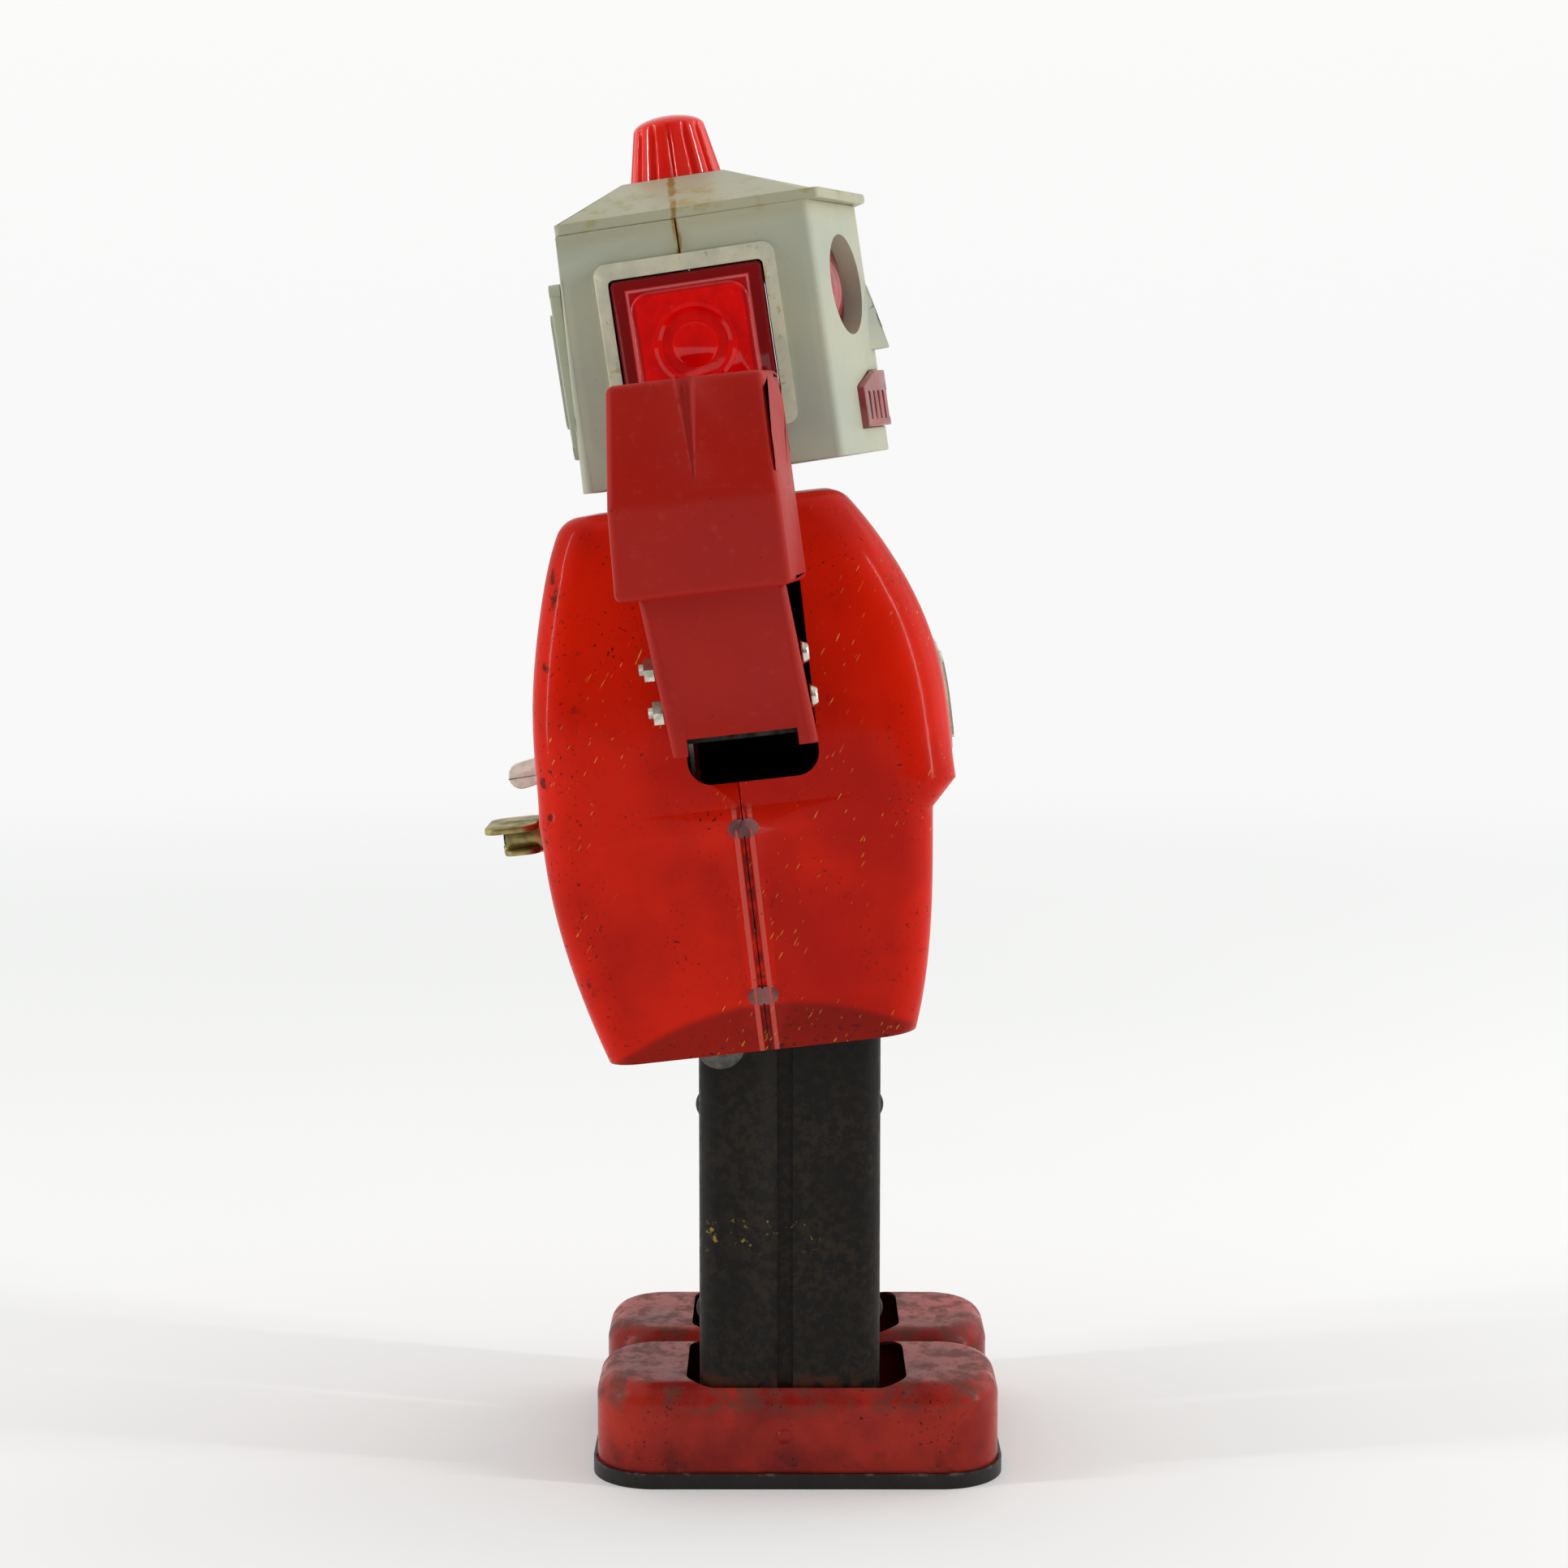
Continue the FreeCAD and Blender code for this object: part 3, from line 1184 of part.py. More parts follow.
# ---------------------------------------------------------------- clockwork
def clockwork():
    """Spring motor between two plates, its key, stop lever and cross shaft, and the frames it carries."""
    width = "works_half * 2"
    tall = "works_top - works_bottom"
    shaft_y, shaft_z = "shaft_back", "shaft_up"
    arbor_hole = rod("arbor_hole", "arbor_radius + running", "90", ("0", "-10", "key_up"), "y")
    second = "shaft_up"
    second_hole = rod("second_hole", "1.2 + running", "90", ("0", "-10", second), "y")
    post_spots = [(sx, z) for sx in ("-1", "1") for z in ("works_bottom + 5", "works_top - 6")]
    posts, post_holes = [], []
    for i, (sign, z) in enumerate(post_spots):
        x = f"({sign}) * (works_half - 4.5)"
        length = "works_back - works_front - plate"
        waist = rod(f"post_body{i}", "2.6", length, (x, "works_front + plate", z), "y")
        ends = rod(f"post_end{i}", "1.5", f"{length} + 2 * plate + 1.2", (x, "works_front - 0.6", z), "y")
        posts.append(fuse(f"post{i}", waist, ends))
        post_holes.append(rod(f"post_hole{i}", "1.5", "90", (x, "-10", z), "y"))
    node("plate_posts", "torso", *posts)

    front = box("front_plate", (width, "plate", tall), ("0", "works_front + plate / 2", "works_bottom"))
    cheeks = [
        box(f"shaft_cheek_{word}", ("plate", "14", "16"), (f"({sign}) * cheek_out", "works_front - 7 + 0.1", f"{shaft_z} - 8"))
        for word, sign in (("right", "-1"), ("left", "1"))
    ]
    shaft_hole = rod("shaft_hole", "1.6 + running", "90", ("-45", shaft_y, shaft_z), "x")
    pawl_hole = rod("pawl_hole", "pawl_pin_radius", "3", ("14.2", "works_front - 1", "key_up + 11.2"), "y")
    plate_holes = [arbor_hole, second_hole, shaft_hole, pawl_hole, *post_holes]
    node("movement_front_plate", "torso", cut("front_plate_cut", fuse("front_plate_solid", front, *cheeks), *plate_holes))
    back = box("back_plate", (width, "plate", tall), ("0", "works_back + plate / 2", "works_bottom"))
    ears = [
        box(f"lever_ear_{word}", ("1", "5.2", "6"), (f"({sign}) * 1.6", "works_back + plate + 2.5", "lever_up - 3"))
        for word, sign in (("right", "-1"), ("left", "1"))
    ]
    pivot = rod("lever_pivot_hole", "0.9", "20", ("-10", "works_back + 4.4", "lever_up"), "x")
    back_cut = cut("back_plate_cut", fuse("back_plate_solid", back, *ears), arbor_hole, second_hole, pivot, *post_holes)
    pivot_pin = rod("lever_pin_rod", "0.9", "4.6", ("-2.3", "works_back + 4.4", "lever_up"), "x")
    node("movement_back_plate", "torso", fuse("back_plate_whole", back_cut, pivot_pin))

    arbor = rod("arbor_rod", "arbor_radius", "key_reach - works_front - 2", ("0", "works_front - 1.5", "key_up"), "y")
    hook = box("arbor_hook", ("1.2", "8", "arbor_radius + 2.2"), ("0", "works_front + plate + 13.2", "key_up"))
    node("winding_arbor", "torso", fuse("arbor_solid", arbor, hook))
    ratchet = gear("ratchet_gear", "8", 16, "1.9", "1.6", ("0", "works_front + plate + 0.4", "key_up"), "arbor_radius")
    node("ratchet_wheel", "torso", ratchet)
    great = gear("great_gear", "16", 48, "1.3", "1.6", ("0", "works_front + plate + 3.4", "key_up"), "arbor_radius + running")
    windows = [
        turned(f"great_window{i}", rod(f"great_hole{i}", "3.2", "30", ("9", "0", "0"), "y"), (0, 1, 0), f"{i} * 72", ("0", "works_front", "key_up"))
        for i in range(5)
    ]
    node("great_wheel", "torso", cut("great_cut", great, *windows))
    coil = doc.addObject("Part::Feature", "mainspring_coil")
    coil.Shape = ribbon(size("arbor_radius") + 2.9, 17.5, 9, 0.45, 8.0)
    coil.Placement = Placement(Vector(), TURNS["y"])
    at(coil, ("0", "works_front + plate + 9.4", "key_up"))
    node("mainspring", "torso", coil)
    pawl_blank = disc_prism(
        "pawl_blank",
        [("7.9", "key_up + 6.2"), ("15.5", "key_up + 9.5"), ("15.5", "key_up + 12.5"), ("12.5", "key_up + 12.5")],
        "-(works_front + plate + 2.0)",
        "1.4",
        "XZ_Plane",
    )
    pawl_pin = rod("pawl_pin", "pawl_pin_radius", "3.4", ("14.2", "works_front + 0.1", "key_up + 11.2"), "y")
    node("pawl", "torso", fuse("pawl_solid", pawl_blank, pawl_pin))

    second_rod = rod("second_rod", "1.2", "works_back - works_front + plate + 5.6", ("0", "works_front - 4.2", second), "y")
    pinion = gear("second_pinion", "4", 12, "1.3", "2.6", ("0", "works_front + plate + 2.9", second), "1.1", "y", "15")
    crown_disc = rod("crown_disc", "8.2", "1.2", ("0", "works_front - 2.6", second), "y")
    crown_teeth = [
        turned(
            f"crown_tooth{i}",
            box(f"crown_bar{i}", ("1.3", "2.5", "0.56"), ("7.55", "0", "-0.28")),
            (0, 1, 0),
            f"{i} * 15",
            ("0", "works_front - 3.7", second),
        )
        for i in range(24)
    ]
    fly = box("governor_blade", ("9", "0.6", "9"), ("0", "works_front + plate + 7.4", f"{second} - 4.5"))
    node("second_arbor", "torso", fuse("second_solid", second_rod, pinion, crown_disc, *crown_teeth, fly))

    shaft = rod("cross_rod", "1.6", "37.8", ("-18.9", shaft_y, shaft_z), "x")
    small = gear("cross_pinion", "3", 10, "1.0", "2.6", ("-8.4", shaft_y, shaft_z), "1", "x")
    discs = []
    for word, sign, up in (("right", "-1", "1"), ("left", "1", "-1")):
        discs.append(rod(f"crank_disc_{word}", "5.5", "1.4", (f"({sign}) * 18.9 - 0.7", shaft_y, shaft_z), "x"))
        discs.append(
            rod(f"crank_pin_{word}", "1", "13.4", (f"({sign}) * 25.6 - 6.7", shaft_y, f"{shaft_z} + ({up}) * 2"), "x")
        )
    node("crank_shaft", "torso", fuse("crank_solid", shaft, small, *discs))

    key()
    frames()


def key():
    """The two-leaf winding key and the flat stop lever."""
    wing = prism("key_wing", "-key_half", "key_half", "49.6", "key_reach", "3.4", "key_up + key_rise - 1.5", "1.5")
    leaf = prism("key_leaf", "-key_half * 0.6", "key_half * 0.6", "49.6", "key_reach - 3.6", "2.6", "key_up - key_rise + 0.1", "1.3")
    hub = rod("key_hub", "3.9", "9", ("0", "48.2", "key_up"), "y")
    spine = box("key_spine", ("4.4", "8", "key_rise * 2 - 0.4"), ("0", "54", "key_up - key_rise + 0.2"))
    bore = rod("key_bore", "arbor_radius", "12", ("0", "48", "key_up"), "y")
    node("winding_key", "torso", cut("key_cut", fuse("key_solid", wing, leaf, hub, spine), bore))
    drop = "11"
    blade = prism("lever_blade", "0", "lever_reach - works_back - 4.4", "-lever_wide / 2", "lever_wide / 2", "lever_wide / 2 - 0.1", "-plate / 2", "plate", "YZ_Plane")
    hinge = rod("lever_bore", "0.9 + running", "10", ("-5", "0", "0"), "x")
    trimmed = cut("lever_trimmed", fuse("lever_shape", blade, rod("lever_eye", "2.4", "plate", ("-plate / 2", "0", "0"), "x")), hinge)
    node("stop_lever", "torso", turned("lever_set", trimmed, (-1, 0, 0), drop, ("0", "works_back + 4.4", "lever_up")))


def frames():
    """The yoke that carries the arm pins, the hip frame, and the strap with two tabs through the back."""
    front = "-0.6 - (slot_wide - bracket_room) / 2 - 2.7"
    yoke_long = "works_front - 0.1 - (" + front + ")"
    yoke = fuse(
        "yoke_solid",
        box("yoke_front", ("36", "plate", "20.6"), ("0", f"{front} + plate / 2", "pin_up - 15.6")),
        box("yoke_web", ("36", yoke_long, "plate"), ("0", f"{front} + ({yoke_long}) / 2", "pin_up - 15.6")),
        box("yoke_back", ("36", "plate", "30"), ("0", "works_front - 0.1 - plate / 2", "pin_up - 25")),
    )
    holes = [rod(f"yoke_hole_{word}", "pin_radius", "60", (x, "-30", "pin_up"), "y") for word, x in (("right", "-pin_out"), ("left", "pin_out"))]
    node("arm_yoke", "torso", cut("yoke_cut", yoke, *holes))

    pin_y = "-(hip_pin - hip_height) * sin(torso_lean)"
    pin_z = "(hip_pin - hip_height) * cos(torso_lean)"
    reach = "leg_out + leg_half + 1.6"
    deck = box("hip_deck", (f"2 * ({reach})", "12", "plate"), ("0", "works_front - 1.9", "works_bottom - plate"))
    sides, lever_ways = [], []
    for word, sign in (("right", "-1"), ("left", "1")):
        lever_way = (f"({sign}) * (leg_out + leg_half - 5.4 - plate / 2)", "works_front - 5", "works_bottom - 2 * plate")
        lever_ways.append(box(f"hip_notch_{word}", ("plate + 2.4", "13.4", "plate * 4"), lever_way))
        sides.append(
            box(f"hip_side_{word}", ("plate", "24", "works_bottom - 7"), (f"({sign}) * ({reach} - plate / 2)", "7", "7"))
        )
        sides.append(
            rod(f"hip_ear_{word}", "5.4", "plate", (f"({sign}) * ({reach} - plate / 2) - plate / 2", "13", "7.4"), "x")
        )
    hole = rod("hip_frame_hole", "hip_pin_radius", "120", ("-60", pin_y, pin_z), "x")
    foot_bracket = box("hip_foot", ("cheek_out * 2 - plate - 2 * fit", "plate", "plate + 6"), ("0", "works_front - 0.1 - plate / 2", "works_bottom - plate"))
    node("hip_frame", "torso", cut("hip_cut", fuse("hip_solid", deck, foot_bracket, *sides), hole, *lever_ways))
    node("hip_pin_rod", "floor", rod("hip_rod", "hip_pin_radius", f"2 * ({reach}) + 1", (f"-({reach}) - 0.5", "0", "hip_pin"), "x"))

    strap = fuse(
        "strap_solid",
        box("strap_plate", ("44", "1", "8"), ("0", "41.2", "chest_up - 5")),
        *(box(f"strap_tab_{word}", ("5", "3", "plate"), (x, "42.7", "chest_up - plate / 2")) for word, x in (("right", "-18"), ("left", "18"))),
    )
    node("back_strap", "torso", strap)


def ribbon(first, last, turns, thick, deep):
    """A flat coiled spring as one ribbon from an inner radius to an outer one."""
    steps = turns * 24

    def point(i, offset):
        angle = 2 * math.pi * turns * i / steps
        radius = first + (last - first) * i / steps + offset
        return Vector(radius * math.cos(angle), radius * math.sin(angle), 0)

    inside = Part.BSplineCurve()
    inside.interpolate([point(i, -thick / 2) for i in range(steps + 1)])
    outside = Part.BSplineCurve()
    outside.interpolate([point(i, thick / 2) for i in range(steps + 1)])
    ends = [
        Part.makeLine(point(0, -thick / 2), point(0, thick / 2)),
        Part.makeLine(point(steps, -thick / 2), point(steps, thick / 2)),
    ]
    wire = Part.Wire([inside.toShape(), ends[1], outside.toShape(), ends[0]])
    return Part.Face(wire).extrude(Vector(0, 0, deep))


# ---------------------------------------------------------------- build, check and write
torso()
head()
arm()
leg()
foot()
clockwork()
doc.recompute()
os.makedirs("parts", exist_ok=True)
for thing in doc.Objects:
    if {"Invalid", "Error"} & set(thing.State):
        raise RuntimeError(f"{thing.Name}: {thing.State}")
for made in NODES:
    shape = made.Shape
    if shape.isNull() or not shape.isValid() or not shape.Solids:
        raise RuntimeError(f"{made.Label}: bad shape")
    shape.exportStep(f"parts/{made.Label}.step")
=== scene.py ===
"""Looks of a tin wind-up robot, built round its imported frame.

Laid out as a Blender add-on: sizes and colours are properties, and each group of pieces has an operator.
"""
import json
import math

import bmesh
import bpy
from mathutils import Matrix, Vector
from mathutils.bvhtree import BVHTree


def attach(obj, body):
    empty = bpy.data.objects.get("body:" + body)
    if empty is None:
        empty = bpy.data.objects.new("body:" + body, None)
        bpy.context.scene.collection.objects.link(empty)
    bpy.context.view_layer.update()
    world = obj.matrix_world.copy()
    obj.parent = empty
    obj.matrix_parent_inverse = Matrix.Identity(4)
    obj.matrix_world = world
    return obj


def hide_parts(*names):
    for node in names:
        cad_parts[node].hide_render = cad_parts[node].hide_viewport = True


bl_info = {
    "name": "Tin Robot",
    "version": (1, 0, 0),
    "blender": (4, 5, 0),
    "location": "3D View > Sidebar > Tin Robot",
    "description": "Builds the looks of a wind-up tin robot round its frame",
    "category": "Object",
}

MM = 0.001
# the black card below is painted shade for the dark hollow behind the arm slots
SHADE_CARD_THICK = 0.6 * MM  # the black card that stands between the arm slots
FLOOR_HALF = 12.0  # half the width of the paper floor, in metres
PAPER_LOW, PAPER_HIGH = "#F8F9F8", "#FCFDFB"  # the lit paper backdrop, at the floor and above
SEAM_BACK = 2.4 * MM  # the side seam's place along the torso
LENS_MIDDLE = Vector((-33.0 * MM, -0.5 * MM, 27.6 * MM))  # of the right side lens, in the head's frame
# turns a lens's X to run back along the head, its Y up and its Z out of the side
SIDE_WALL = Matrix(((0, 0, -1, 0), (1, 0, 0, 0), (0, 1, 0, 0), (0, 0, 0, 1)))
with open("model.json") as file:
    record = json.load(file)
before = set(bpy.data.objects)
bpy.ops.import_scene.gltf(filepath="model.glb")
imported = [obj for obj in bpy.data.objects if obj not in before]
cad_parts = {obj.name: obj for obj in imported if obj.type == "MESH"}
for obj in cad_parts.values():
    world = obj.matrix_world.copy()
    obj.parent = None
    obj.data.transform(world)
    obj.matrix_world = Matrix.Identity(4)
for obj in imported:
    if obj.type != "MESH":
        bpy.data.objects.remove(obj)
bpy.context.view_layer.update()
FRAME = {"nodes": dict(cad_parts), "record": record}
NODES = FRAME["nodes"]
JOINTS = {joint["name"]: joint for joint in FRAME["record"]["behaviour"]["joints"]}


def frame_at(joint, back, up):
    """The place of a leaning frame, from a joint that lies at (0, back, up) in it."""
    axis = Vector(JOINTS[joint]["axis"])
    lean = math.atan2(-axis.z, axis.y) if abs(axis.y) > abs(axis.z) else math.atan2(axis.y, axis.z)
    turn = Matrix.Rotation(-lean, 4, "X")
    return Matrix.Translation(Vector(JOINTS[joint]["pos_m"]) - turn @ Vector((0, back, up))) @ turn


TORSO = frame_at("key_turn", 20 * MM, 52.6 * MM)
HEAD = frame_at("head_turn", 0, 0)


# ---------------------------------------------------------------- sizes and colours
def length(name, words, value):
    """A size given in millimetres and kept in metres."""
    kind = {"unit": "LENGTH", "subtype": "DISTANCE"}
    return bpy.props.FloatProperty(name=name, description=words, default=value * MM, **kind)


def colour(name, words, value):
    """A colour as an sRGB hex value."""
    return bpy.props.StringProperty(name=name, description=words, default=value)


class RobotSizes(bpy.types.PropertyGroup):
    """Sizes of the details that the looks add to the frame."""

    plastic_edge: length("Plastic edge", "Rounding of the arms' moulded edges", 1.5)
    head_edge: length("Head edge", "Rounding of the head's moulded edges", 0.45)
    tin_edge: length("Tin edge", "Rounding of cut tin and small steel pieces", 0.18)
    bead_radius: length("Seam bead", "Radius of the rolled edge along each side seam", 0.75)
    lens_wide: length("Side lens width", "Width of a side lens", 32.4)
    lens_tall: length("Side lens height", "Height of a side lens", 31.0)
    plateau: length("Lens plateau", "Width of the raised middle of a side lens", 25.4)
    ring_radius: length("Lens ring", "Radius of the ring moulded in a side lens", 7.9)
    beacon_base: length("Beacon base", "Radius of the beacon at the roof", 10.3)
    beacon_top: length("Beacon top", "Radius of the beacon under its dome", 7.9)
    beacon_tall: length("Beacon height", "Height of the fluted part of the beacon", 11.6)
    beacon_dome: length("Beacon dome", "Height of the dome over the fluted part", 2.9)
    flutes: bpy.props.IntProperty(name="Flutes", description="Number of grooves round the beacon", default=14)


class RobotColours(bpy.types.PropertyGroup):
    """Colours of the finishes, as sRGB hex values."""

    enamel_red: colour("Torso red", "Glossy enamel on the torso", "#D81E05")
    enamel_deep: colour("Torso deep red", "Thinner and older enamel on the torso", "#AE1204")
    plastic_red: colour("Arm red", "Moulded arms", "#AA190C")
    head_grey: colour("Head grey", "Moulded head", "#B6B7A0")
    head_yellow: colour("Glue yellow", "Aged glue and grime on the head", "#A2944E")
    frame_cream: colour("Frame cream", "Edges of the side panels", "#D3D0B4")
    lens_red: colour("Lens red", "Side lenses", "#FF0A04")
    eye_pink: colour("Eye pink", "Eye lenses", "#C7363C")
    mouth_pink: colour("Mouth pink", "Mouth piece", "#B4524F")
    leg_black: colour("Leg black", "Enamel on the legs", "#1D1C1B")
    foot_red: colour("Foot red", "Enamel on the feet", "#B02A1A")
    rust: colour("Rust", "Rust where the enamel is gone", "#4A2014")
    litho_gold: colour("Gold", "Gold undercoat that shows in scratches", "#D9A441")


# ---------------------------------------------------------------- mesh helpers
def merged_copy(node):
    """The frame's mesh of a node with its corners joined."""
    bm = bmesh.new()
    bm.from_mesh(NODES[node].data)
    bmesh.ops.remove_doubles(bm, verts=bm.verts, dist=0.002 * MM)
    return bm


def flatten(bm, degrees=1.5):
    """Joins the triangles of each flat face."""
    bmesh.ops.dissolve_limit(bm, angle_limit=math.radians(degrees), verts=bm.verts, edges=bm.edges)


def soften(bm, width, shortest=3 * MM, sharper=25, keep=None, segments=3):
    """Rounds the long outer edges that are sharper than an angle."""
    edges = [
        e
        for e in bm.edges
        if len(e.link_faces) == 2
        and e.calc_length() > shortest
        and e.calc_face_angle_signed(0) > math.radians(sharper)
        and (keep is None or keep(sum((v.co for v in e.verts), Vector()) / 2))
    ]
    bmesh.ops.bevel(
        bm,
        geom=edges,
        offset=width,
        segments=segments,
        profile=0.5,
        affect="EDGES",
        clamp_overlap=False,
        material=-1,
    )


def make_piece(bm, name, body, finish, replaces=(), smooth=32):
    """Turns a finished bmesh into a piece that rides on a body."""
    mesh = bpy.data.meshes.new(name)
    bm.to_mesh(mesh)
    bm.free()
    piece = bpy.data.objects.new(name, mesh)
    bpy.context.scene.collection.objects.link(piece)
    mesh.materials.append(finish)
    mesh.shade_smooth()
    mesh.set_sharp_from_angle(angle=math.radians(smooth))
    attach(piece, body)
    if replaces:
        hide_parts(*replaces)
    return piece


def place(bm, matrix, mirror=False):
    """Moves a whole bmesh into the row's frame, on the robot's right or as its mirror image on the left."""
    bmesh.ops.transform(bm, matrix=matrix, verts=bm.verts)
    if mirror:
        bmesh.ops.scale(bm, vec=(-1, 1, 1), verts=bm.verts)
    bmesh.ops.recalc_face_normals(bm, faces=bm.faces)


def rounded_block(bm, wide, tall, corner, low, high, edge):
    """A block on the XY plane with round corners, from one height to another, its top edge rounded."""
    made = bmesh.ops.create_grid(bm, x_segments=1, y_segments=1, size=0.5)["verts"]
    bmesh.ops.scale(bm, vec=(wide, tall, 1), verts=made)
    bmesh.ops.translate(bm, vec=(0, 0, low), verts=made)
    bmesh.ops.bevel(bm, geom=made, offset=corner, segments=6, profile=0.5, affect="VERTICES", material=-1)
    face = next(f for f in bm.faces if all(abs(v.co.z - low) < 1e-7 for v in f.verts) and f.is_valid)
    base = bmesh.ops.extrude_face_region(bm, geom=[face], use_keep_orig=True)
    top = [v for v in base["geom"] if isinstance(v, bmesh.types.BMVert)]
    bmesh.ops.translate(bm, vec=(0, 0, high - low), verts=top)
    if edge:
        rim = [e for e in bm.edges if all(v in top for v in e.verts)]
        bmesh.ops.bevel(bm, geom=rim, offset=edge, segments=3, profile=0.5, affect="EDGES", material=-1)


def spun(bm, profile, steps, axis=(0, 0, 1)):
    """A shape turned from a profile of (radius, height) points."""
    verts = [bm.verts.new((r, 0, z)) for r, z in profile]
    edges = [bm.edges.new(pair) for pair in zip(verts, verts[1:])]
    bmesh.ops.spin(
        bm, geom=verts + edges, cent=(0, 0, 0), axis=axis, angle=2 * math.pi, steps=steps, use_merge=True
    )
    bmesh.ops.remove_doubles(bm, verts=bm.verts, dist=0.001 * MM)


# ---------------------------------------------------------------- finishes
def linear(code):
    """An sRGB hex value as linear red, green, blue and alpha."""
    parts = [int(code[i : i + 2], 16) / 255 for i in (1, 3, 5)]
    return tuple(p / 12.92 if p <= 0.04045 else ((p + 0.055) / 1.055) ** 2.4 for p in parts) + (1.0,)


def add(tree, kind, inputs=None, **settings):
    """Adds a node with its settings, and sets or links its inputs."""
    node = tree.nodes.new(kind)
    for key, value in settings.items():
        setattr(node, key, value)
    for key, value in (inputs or {}).items():
        if isinstance(value, bpy.types.NodeSocket):
            tree.links.new(value, node.inputs[key])
        else:
            node.inputs[key].default_value = value
    return node


class Finish:
    """A material under construction: its tree, its coordinates and its shader."""

    def __init__(self, name, **shader):
        self.material = bpy.data.materials.new(name)
        self.material.use_nodes = True
        self.tree = self.material.node_tree
        self.tree.nodes.clear()
        self.shader = add(self.tree, "ShaderNodeBsdfPrincipled", shader)
        output = add(self.tree, "ShaderNodeOutputMaterial")
        self.tree.links.new(self.shader.outputs[0], output.inputs[0])
        self.coords = add(self.tree, "ShaderNodeTexCoord").outputs["Object"]

    def local(self, matrix, scale=(1, 1, 1)):
        """Coordinates in a leaning frame, in metres."""
        spin = matrix.to_euler()
        inputs = {"Vector": self.coords, "Location": matrix.translation, "Rotation": spin}
        mapped = add(self.tree, "ShaderNodeMapping", inputs, vector_type="TEXTURE").outputs[0]
        if tuple(scale) == (1, 1, 1):
            return mapped
        return add(self.tree, "ShaderNodeMapping", {"Vector": mapped, "Scale": scale}).outputs[0]

    def noise(self, size, detail=3.0, rough=0.55, vector=None, **more):
        """Noise whose lumps are a given size in millimetres."""
        inputs = {"Vector": vector or self.coords, "Scale": 1000.0 / size, "Detail": detail}
        return add(self.tree, "ShaderNodeTexNoise", {**inputs, "Roughness": rough, **more}).outputs["Fac"]

    def step(self, value, low, high, bottom=0.0, top=1.0):
        """A smooth step of a value from bottom at low to top at high."""
        inputs = {0: value, 1: low, 2: high, 3: bottom, 4: top}
        return add(self.tree, "ShaderNodeMapRange", inputs, interpolation_type="SMOOTHSTEP").outputs[0]

    def math(self, kind, a, b=0.0, c=0.0):
        return add(self.tree, "ShaderNodeMath", {0: a, 1: b, 2: c}, operation=kind).outputs[0]

    def mix(self, share, a, b):
        """One colour over another by a share."""
        a, b = (linear(c) if isinstance(c, str) else c for c in (a, b))
        return add(self.tree, "ShaderNodeMix", {0: share, 6: a, 7: b}, data_type="RGBA").outputs[2]

    def split(self, vector):
        return add(self.tree, "ShaderNodeSeparateXYZ", {0: vector}).outputs

    def band(self, value, middle, half, soft):
        """One inside a band round a middle value, falling to nothing over a soft edge."""
        away = self.math("ABSOLUTE", self.math("SUBTRACT", value, middle))
        return self.step(away, half, half + soft, 1.0, 0.0)

    def bump(self, height, depth, normal=None):
        """A bump of a depth in millimetres."""
        inputs = {"Height": height, "Distance": depth * MM, "Strength": 1.0}
        if normal:
            inputs["Normal"] = normal
        return add(self.tree, "ShaderNodeBump", inputs).outputs[0]

    def use(self, **links):
        """Links sockets to the shader, with underscores for the spaces in its names."""
        for name, socket in links.items():
            self.tree.links.new(socket, self.shader.inputs[name.replace("_", " ")])
        return self.material


